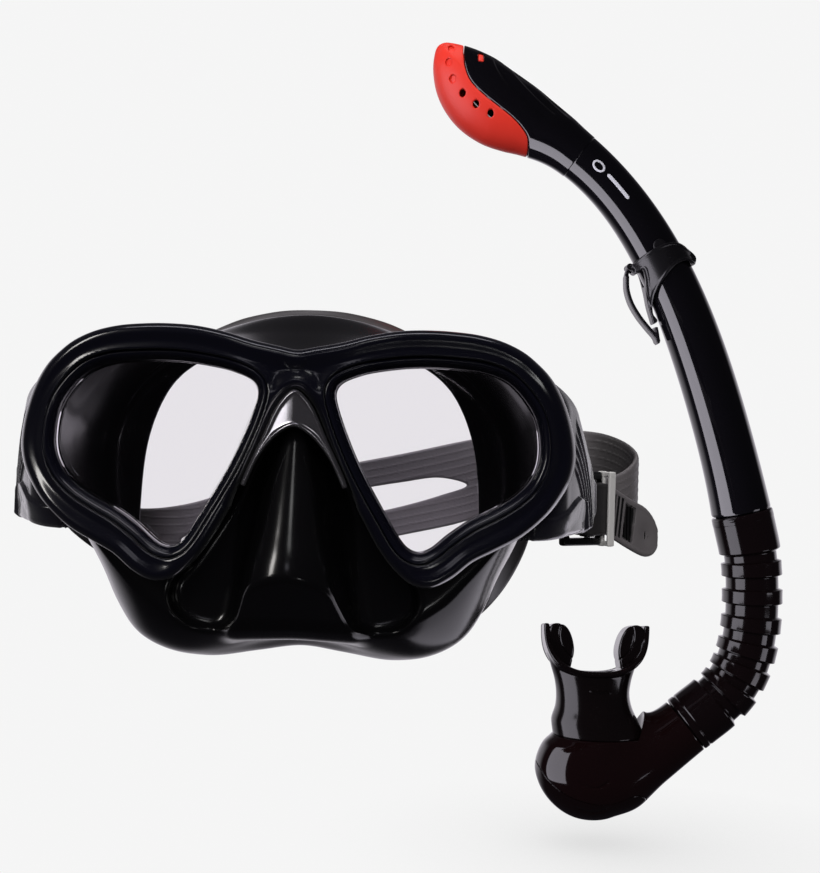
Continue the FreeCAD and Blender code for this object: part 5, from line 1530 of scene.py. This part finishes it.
def elbow_field(x, y, z):
    outer = chamber_field(x, y, z)
    side = elbow_side(x, z)
    field = soft_max(outer + front_groove(upper_groove, x, y, z), -side + 0.03, 0.12)
    field = hollow(field, outer)
    # the upright spigot for the mouthpiece, in a roof with a hole
    from_swivel = np.hypot(x - SWIVEL_X, y)
    spigot = soft_max(slab(from_swivel - 11.7, 0.9), slab(z + 98.8, 6.2), 0.3)
    roof = np.maximum(slab(z + 104.9, 1.0), -(from_swivel - 11.0))
    roof = soft_max(outer + 0.1, roof, 0.2)
    # the spigot into the hose, and its bore
    along, radius = along_neck(x, y, z)
    hose_spigot = soft_max(slab(radius - 9.95, 0.9), slab(along + 5.0, 8.0), 0.3)
    field = cut(field, soft_max(radius - 8.9, slab(along - 3.0, 9.0), 0.2), 0.3)
    # the valve's seat: six holes round the one for its stem
    seat = soft_max(soft_max(outer + 1.0, slab(z + 118.2, 0.8), 0.2), -(side - 0.5), 0.2)
    holes = np.hypot(x - VALVE_X, y) - 1.48
    for k in range(6):
        angle = math.radians(30 + 60 * k)
        hole = np.hypot(x - VALVE_X - 6.6 * math.cos(angle), y - 6.6 * math.sin(angle)) - 2.6
        holes = np.minimum(holes, hole)
    seat = cut(seat, holes, 0.2)
    return np.minimum.reduce([field, spigot, roof, hose_spigot, seat])


def cover_field(x, y, z):
    outer = chamber_field(x, y, z)
    grooves = front_groove(upper_groove, x, y, z) + front_groove(lower_groove, x, y, z)
    field = soft_max(outer + grooves, elbow_side(x, z) + 0.03, 0.12)
    return hollow(field, outer)


sculpt_snorkel("elbow_body", elbow_field, (88, 165.5), 18.5, (-141.5, -84.5), 0.5,
               "elbow", "elbow", "elbow_gloss")
sculpt_snorkel("purge_cover_shell", cover_field, (88, 142), 18.5, (-141, -112), 0.46,
               "elbow", "purge_cover", "purge_gloss")
VALVE_PROFILE = [(0, 9.4), (0.5, 9.8), (0.95, 9.5), (1.05, 1.5), (5.2, 1.35), (5.6, 2.2),
                 (7.3, 1.2)]
turn("purge_valve_disc", VALVE_PROFILE, (VALVE_X, SNORKEL_Y, -120.1), (0, 0, 1),
     "purge_valve", "purge_valve", "valve_silicone", segments=48)

# ============================================================ mouthpiece
# The body by height: centre x, and half sizes in x and y
MOUTH_Z = [-110.0, -103.8, -100.5, -97.5, -92.0, -86.5, -81.0, -75.0, -68.0]
mouth_x = spline(MOUTH_Z, [116.6, 116.1, 115.3, 114.5, 113.9, 113.4, 113.3, 113.2, 113.2])
mouth_half_x = spline(MOUTH_Z, [19.6, 19.2, 18.9, 18.3, 16.2, 15.5, 16.2, 17.9, 20.0])
mouth_half_y = spline(MOUTH_Z, [16.0, 15.5, 15.1, 14.6, 13.4, 12.3, 11.6, 11.2, 11.0])
BORE_Z = [-106, -92, -88, -83, -70, -60]
bore_half_x = spline(BORE_Z, [12.7, 12.6, 12.2, 11.6, 11.4, 11.4])
bore_half_y = spline(BORE_Z, [12.7, 11.4, 9.4, 7.4, 6.2, 6.0])
# The lip flange follows a squared U in x and z
FLANGE_X, FLANGE_Z, FLANGE_RADIUS, FLANGE_POWER = 113.5, -57.5, 21.0, 2.6


def flange_z(share):
    """Height of the U at a share, from -1 to 1, of its half width."""
    rest = np.maximum(1 - np.abs(share) ** FLANGE_POWER, 0)
    return FLANGE_Z - FLANGE_RADIUS * rest ** (1 / FLANGE_POWER)


flange_share = np.sin(np.linspace(-1, 1, 121) * math.pi / 2)
flange_track = Track(np.stack([FLANGE_X + FLANGE_RADIUS * flange_share,
                               flange_z(flange_share)], 1), 0.3, 12)
# Each bite tab's outline: distance from the flange's middle, z
tab_outline = Outline(curve([
    (20.0, -61.0), (19.0, -58.2), (16.6, -57.4), (13.2, -58.4), (10.8, -61.6), (9.2, -68.0),
    (9.8, -72.6), (11.4, -77.2), (15.0, -76.4), (19.0, -71.4), (20.6, -66.0)], 200), 0.3, 14)


def mouth_field(x, y, z):
    z = z + 0.15 * y * ramp(-92, -80, z)  # the upper part is skewed along y
    across = x - FLANGE_X
    half_y = mouth_half_y(z)
    level = np.sqrt(((x - mouth_x(z)) / mouth_half_x(z)) ** 2 + (y / half_y) ** 2)
    body = np.where(level > 0.3, (level - 1) * half_y, -half_y * 0.7)
    offset = np.abs(flange_track(x, z)[0])
    under = np.where(z < flange_z(across / FLANGE_RADIUS), -offset, offset)
    body = soft_max(body, under + 0.3, 0.6)
    body = soft_max(body, z + 70.0, 1.0)
    # the flange is a curved sheet with a rolled edge, narrower upwards
    half = 12.8 - 6.0 * ramp(-78, -58, z)
    wave = 0.12 * np.sin(y * 2 * math.pi / 3.1) * ramp(-63, -59, z)
    flange = soft_max(offset - 0.95, slab(y, half), 0.8)
    roll = np.hypot(offset, np.abs(slab(y, half) + 0.6)) - 1.15
    flange = soft_min(flange, roll, 0.4)
    flange = soft_max(flange, z + 57.6 + wave, 0.8)
    # the bite tabs, each with a curved groove
    tab = soft_max(tab_outline(np.abs(across), z) + wave * 0.4, slab(y, 7.8), 1.6)
    groove = np.abs(np.hypot(np.abs(across) - 4.0, z + 62.0) - 11.6)
    tab = tab + 0.35 * bell(groove, 0.4) * ramp(5.0, 7.0, np.abs(y))
    field = soft_min(soft_min(body, flange, 1.2), tab, 0.6)
    # a short raised line at the front
    bar = round_box(x - 115.0, y + 11.6, z + 85.2, 4.2, 1.0, 0.28, 0.2)
    field = soft_min(field, bar, 0.4)
    bore_x = np.where(z < -92, SWIVEL_X, 113.4)
    bore_y = bore_half_y(z)
    bore = (np.sqrt(((x - bore_x) / bore_half_x(z)) ** 2 + (y / bore_y) ** 2) - 1) * bore_y
    bore = soft_max(bore, z + 77.0, 0.5)
    field = cut(field, bore, 0.8)
    return cut(field, z + 103.74, 0.5)


sculpt_snorkel("mouthpiece_bite", mouth_field, (90, 137.2), 16.3, (-104.3, -55.3), 0.46,
               "mouthpiece", "mouthpiece", "bite_silicone")

# ============================================================ marks on the barrel
MARK_EDGE, MARK_CREST = 0.15, 0.23  # above the barrel


def on_barrel(s, round_arc, lift):
    """Points at length s down the barrel, round_arc away from its front line."""
    radius = np.interp(s, barrel_s, barrel[:, 2]) + lift
    centre_x, centre_z = (np.interp(s, barrel_s, column) for column in barrel_path.T)
    tx, tz = (np.interp(s, barrel_s, column) for column in np.gradient(barrel_path, axis=0).T)
    size = np.hypot(tx, tz)
    angle = round_arc / radius
    return np.stack([centre_x - tz / size * radius * np.sin(angle),
                     SNORKEL_Y - radius * np.cos(angle),
                     centre_z + tx / size * radius * np.sin(angle)], -1)


def add_mark(name, rows, closed):
    """A thin crowned strip from three rows of (s, round_arc) places."""
    lifts = (MARK_EDGE, MARK_CREST, MARK_EDGE)
    vertices = np.vstack([on_barrel(*row, lift) for row, lift in zip(rows, lifts)])
    quads = grid_quads(3, len(rows[0][0]), False, closed)
    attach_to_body(quad_object(name, vertices, quads, "tube_mark"), "snorkel")


def oval_rows(s, round_arc, half_s, half_arc, width):
    turns = np.linspace(0, 2 * math.pi, 48, endpoint=False)
    return [(s + (half_s - width * part) * np.cos(turns),
             round_arc + (half_arc - width * part) * np.sin(turns)) for part in (0, 0.5, 1.0)]


def bar_rows(start, end, round_arc, half):
    s = np.linspace(start, end, 24)
    past = np.clip(np.maximum(start + half - s, s - end + half) / half, 0, 1)
    half_here = half * np.sqrt(np.maximum(1 - past**2, 0.03))
    return [(s, round_arc - half_here), (s, round_arc), (s, round_arc + half_here)]


add_mark("tube_mark_oval", oval_rows(s=9.0, round_arc=0.4, half_s=3.0, half_arc=2.2,
                                     width=0.85), closed=True)
add_mark("tube_mark_bar", bar_rows(start=14.0, end=27.5, round_arc=0.6, half=0.75),
         closed=False)

# ============================================================ camera, in metres
CAMERA_PLACE = (0.033, -0.440, 0.020)
CAMERA_ROLL = math.radians(1.6)
camera_data = bpy.data.cameras.new("cam")
camera = bpy.data.objects.new("cam", camera_data)
COLLECTION.objects.link(camera)
camera_data.sensor_width = 36
camera_data.lens = 56.618557
camera_data.clip_start = 0.02
camera_data.clip_end = 20
camera_axes = Matrix(((math.cos(CAMERA_ROLL), 0, math.sin(CAMERA_ROLL)),
                      (-math.sin(CAMERA_ROLL), 0, math.cos(CAMERA_ROLL)),
                      (0, -1, 0))).transposed()
camera.matrix_world = Matrix.Translation(CAMERA_PLACE) @ camera_axes.to_4x4()
bpy.context.scene.camera = camera

# ============================================================ lights, in metres
LILAC = (0.93, 0.89, 1.0)


def area(name, at, size, radiance, aim=None, rotation=None, tint=(1, 1, 1), glossy=True,
         lit=None):
    """An area light, aimed at a point or given a rotation; lit limits what it lights."""
    data = bpy.data.lights.new(name, "AREA")
    data.shape = "RECTANGLE"
    data.size, data.size_y = size
    data.energy = radiance * math.pi * size[0] * size[1]
    data.color = tint
    light = bpy.data.objects.new(name, data)
    COLLECTION.objects.link(light)
    light.location = at
    light.rotation_mode = "QUATERNION"
    if rotation is None:
        rotation = (Vector(aim) - Vector(at)).to_track_quat("-Z", "Y")
    light.rotation_quaternion = rotation
    light.visible_camera = False
    light.visible_transmission = False
    light.visible_glossy = glossy
    if lit is not None:
        receivers = bpy.data.collections.new(name + "_lit")
        for piece in lit:
            receivers.objects.link(piece)
        light.light_linking.receiver_collection = receivers


def named(pieces, *words):
    return [piece for piece in pieces if any(word in piece.name for word in words)]


def before_snorkel(x, degrees, distance, z):
    """A place in front of the snorkel, swung from -Y towards +X by degrees."""
    swing = math.radians(degrees)
    return (x + distance * math.sin(swing), 0.142 - distance * math.cos(swing), z)


all_pieces = [obj for obj in COLLECTION.objects if obj.type == "MESH"]
snorkel = named(all_pieces, "snorkel", "housing", "splash", "keeper", "hose", "elbow",
                "purge", "mouthpiece", "tube_mark")
mask = [piece for piece in all_pieces if piece not in snorkel]
trim = named(all_pieces, "trim")
hard = named(mask, "frame", "arm", "ring")
glossy_low = named(snorkel, "hose", "elbow", "purge", "mouthpiece", "splash")
barrel_group = [piece for piece in snorkel if piece not in glossy_low]

# soft fill for everything, without reflections
area("fill_front", at=(0.10, -1.25, 0.65), aim=(0.05, 0.05, 0.0), size=(1.0, 1.0),
     radiance=4.6, glossy=False)
area("fill_top", at=(0.05, 0.15, 1.1), aim=(0.05, 0.05, 0.0), size=(0.9, 0.9),
     radiance=3.0, glossy=False)
# the mask
area("box_over_camera", at=(-0.02, -0.80, 0.66), aim=(0, -0.03, 0), size=(0.16, 0.14),
     radiance=3.0, lit=mask)
area("box_left", at=(-0.62, -0.60, 0.30), aim=(0, -0.03, 0), size=(0.15, 0.36),
     radiance=11.0, tint=(1.0, 0.97, 0.94), lit=mask)
area("strip_overhead", at=(0.0, -0.22, 0.85), aim=(0, 0, 0), size=(0.9, 0.12),
     radiance=4.5, tint=(0.93, 0.91, 1.0), lit=mask)
area("bridge_glow", at=(-0.07, -0.90, 0.33), aim=(0, -0.05, 0.036), size=(0.13, 0.13),
     radiance=1.1, tint=(0.90, 0.88, 1.0), lit=mask)
area("trim_left", at=(-0.60, -0.62, 0.13), aim=(0, -0.05, 0.02), size=(0.26, 0.36),
     radiance=5.2, lit=trim)
area("trim_right", at=(0.62, -0.58, 0.22), aim=(0, -0.05, 0.02), size=(0.18, 0.18),
     radiance=3.6, lit=trim)
area("under_right", at=(0.50, 0.36, -0.50), aim=(0.03, -0.02, 0), size=(0.62, 0.62),
     radiance=0.62, tint=LILAC, lit=mask)
area("under_right_hard", at=(0.52, 0.38, -0.44), aim=(0.03, -0.02, 0), size=(0.66, 0.66),
     radiance=1.0, tint=(0.92, 0.87, 1.0), lit=hard)
area("box_low_right", at=(0.30, -0.75, -0.30), aim=(0.02, -0.03, -0.02), size=(0.08, 0.08),
     radiance=5.0, lit=mask)
# the snorkel: a large box at its -X side, a long one close to the barrel, a low one at +X
area("wall_left", at=before_snorkel(0.13, -66, 1.1, -0.05), aim=(0.13, 0.142, 0.0),
     size=(0.95, 1.35), radiance=2.3, tint=LILAC, lit=glossy_low)
band_z = Vector((-0.823, -0.407, -0.396)).normalized()
band_y = Vector((0.433, 0.0, -0.901))  # along the barrel
band_y = (band_y - band_z * band_y.dot(band_z)).normalized()
band_axes = Matrix((band_y.cross(band_z), band_y, band_z)).transposed()
area("barrel_band", at=(0.066, 0.105, 0.029), rotation=band_axes.to_quaternion(),
     size=(0.078, 0.52), radiance=4.2, tint=LILAC, lit=barrel_group)
area("wall_right_low", at=before_snorkel(0.14, 58, 1.0, -0.36), aim=(0.14, 0.142, -0.06),
     size=(0.42, 0.34), radiance=1.8, tint=LILAC, lit=snorkel)

# ============================================================ world


def build_world():
    """Even and pale to the camera; to other rays a dark room with a bright band at +Y."""
    world = bpy.data.worlds.new("pale")
    bpy.context.scene.world = world
    world.use_nodes = True
    tree = world.node_tree
    direction = add_node(tree, "TexCoord", {}).outputs["Generated"]
    parts = add_node(tree, "SeparateXYZ", {0: direction})
    behind = ramp_node(tree, parts.outputs["Y"], 0.30, 0.62)
    above_floor = ramp_node(tree, parts.outputs["Z"], -0.60, -0.10)
    below_top = ramp_node(tree, parts.outputs["Z"], 0.12, 0.50, low=1.0, high=0.04)
    band = compute(tree, "MULTIPLY", above_floor, below_top)
    band = compute(tree, "MULTIPLY", behind, band)
    room = mix_color(tree, band, (0.014, 0.013, 0.016, 1), (0.84, 0.80, 0.87, 1))
    to_camera = add_node(tree, "LightPath", {}).outputs["Is Camera Ray"]
    color = mix_color(tree, to_camera, room, (0.915, 0.915, 0.915, 1))
    background = tree.nodes["Background"]
    tree.links.new(color, background.inputs["Color"])
    background.inputs["Strength"].default_value = 1.0


build_world()

# ============================================================ floor
FLOOR_RADIUS = 900.0


def floor_material():
    """Pale to the camera, with a painted shadow from ambient occlusion near the pieces; it fades
    out away from its centre.
    """
    tree = empty_material("floor_pale")
    # painted shadow: ambient occlusion darkens the floor's glow near the pieces
    occlusion = add_node(tree, "AmbientOcclusion", {"Distance": 0.10}, samples=8)
    shade = add_node(tree, "MapRange", {"Value": occlusion.outputs["AO"], "To Min": 0.52,
                                        "To Max": 0.915})
    glow = add_node(tree, "Emission", {"Color": shade.outputs["Result"]})
    grey = add_node(tree, "BsdfDiffuse", {"Color": (0.10, 0.10, 0.105, 1)})
    clear = add_node(tree, "BsdfTransparent", {})
    to_camera = add_node(tree, "LightPath", {}).outputs["Is Camera Ray"]
    solid = add_node(tree, "MixShader", {"Fac": to_camera, 1: grey.outputs["BSDF"],
                                         2: glow.outputs["Emission"]})
    place = add_node(tree, "TexCoord", {}).outputs["Object"]
    radius = add_node(tree, "VectorMath", {0: place}, operation="LENGTH").outputs["Value"]
    fade = ramp_node(tree, radius, 0.25, 0.75)
    mix = add_node(tree, "MixShader", {"Fac": fade, 1: solid.outputs["Shader"],
                                       2: clear.outputs["BSDF"]})
    add_node(tree, "OutputMaterial", {"Surface": mix.outputs["Shader"]})


floor_material()
floor_mesh = bpy.data.meshes.new("floor")
floor_mesh.from_pydata(
    [(FLOOR_RADIUS * math.cos(angle) * MM, FLOOR_RADIUS * math.sin(angle) * MM, 0)
     for angle in np.linspace(0, 2 * math.pi, 64, endpoint=False)], [], [tuple(range(64))])
floor = add_object("floor", floor_mesh, "floor_pale", smooth=False)
floor.visible_glossy = False
floor.visible_shadow = False
floor.location = (0.045, 0.045, -0.150)
bpy.context.scene.view_settings.view_transform = "Standard"
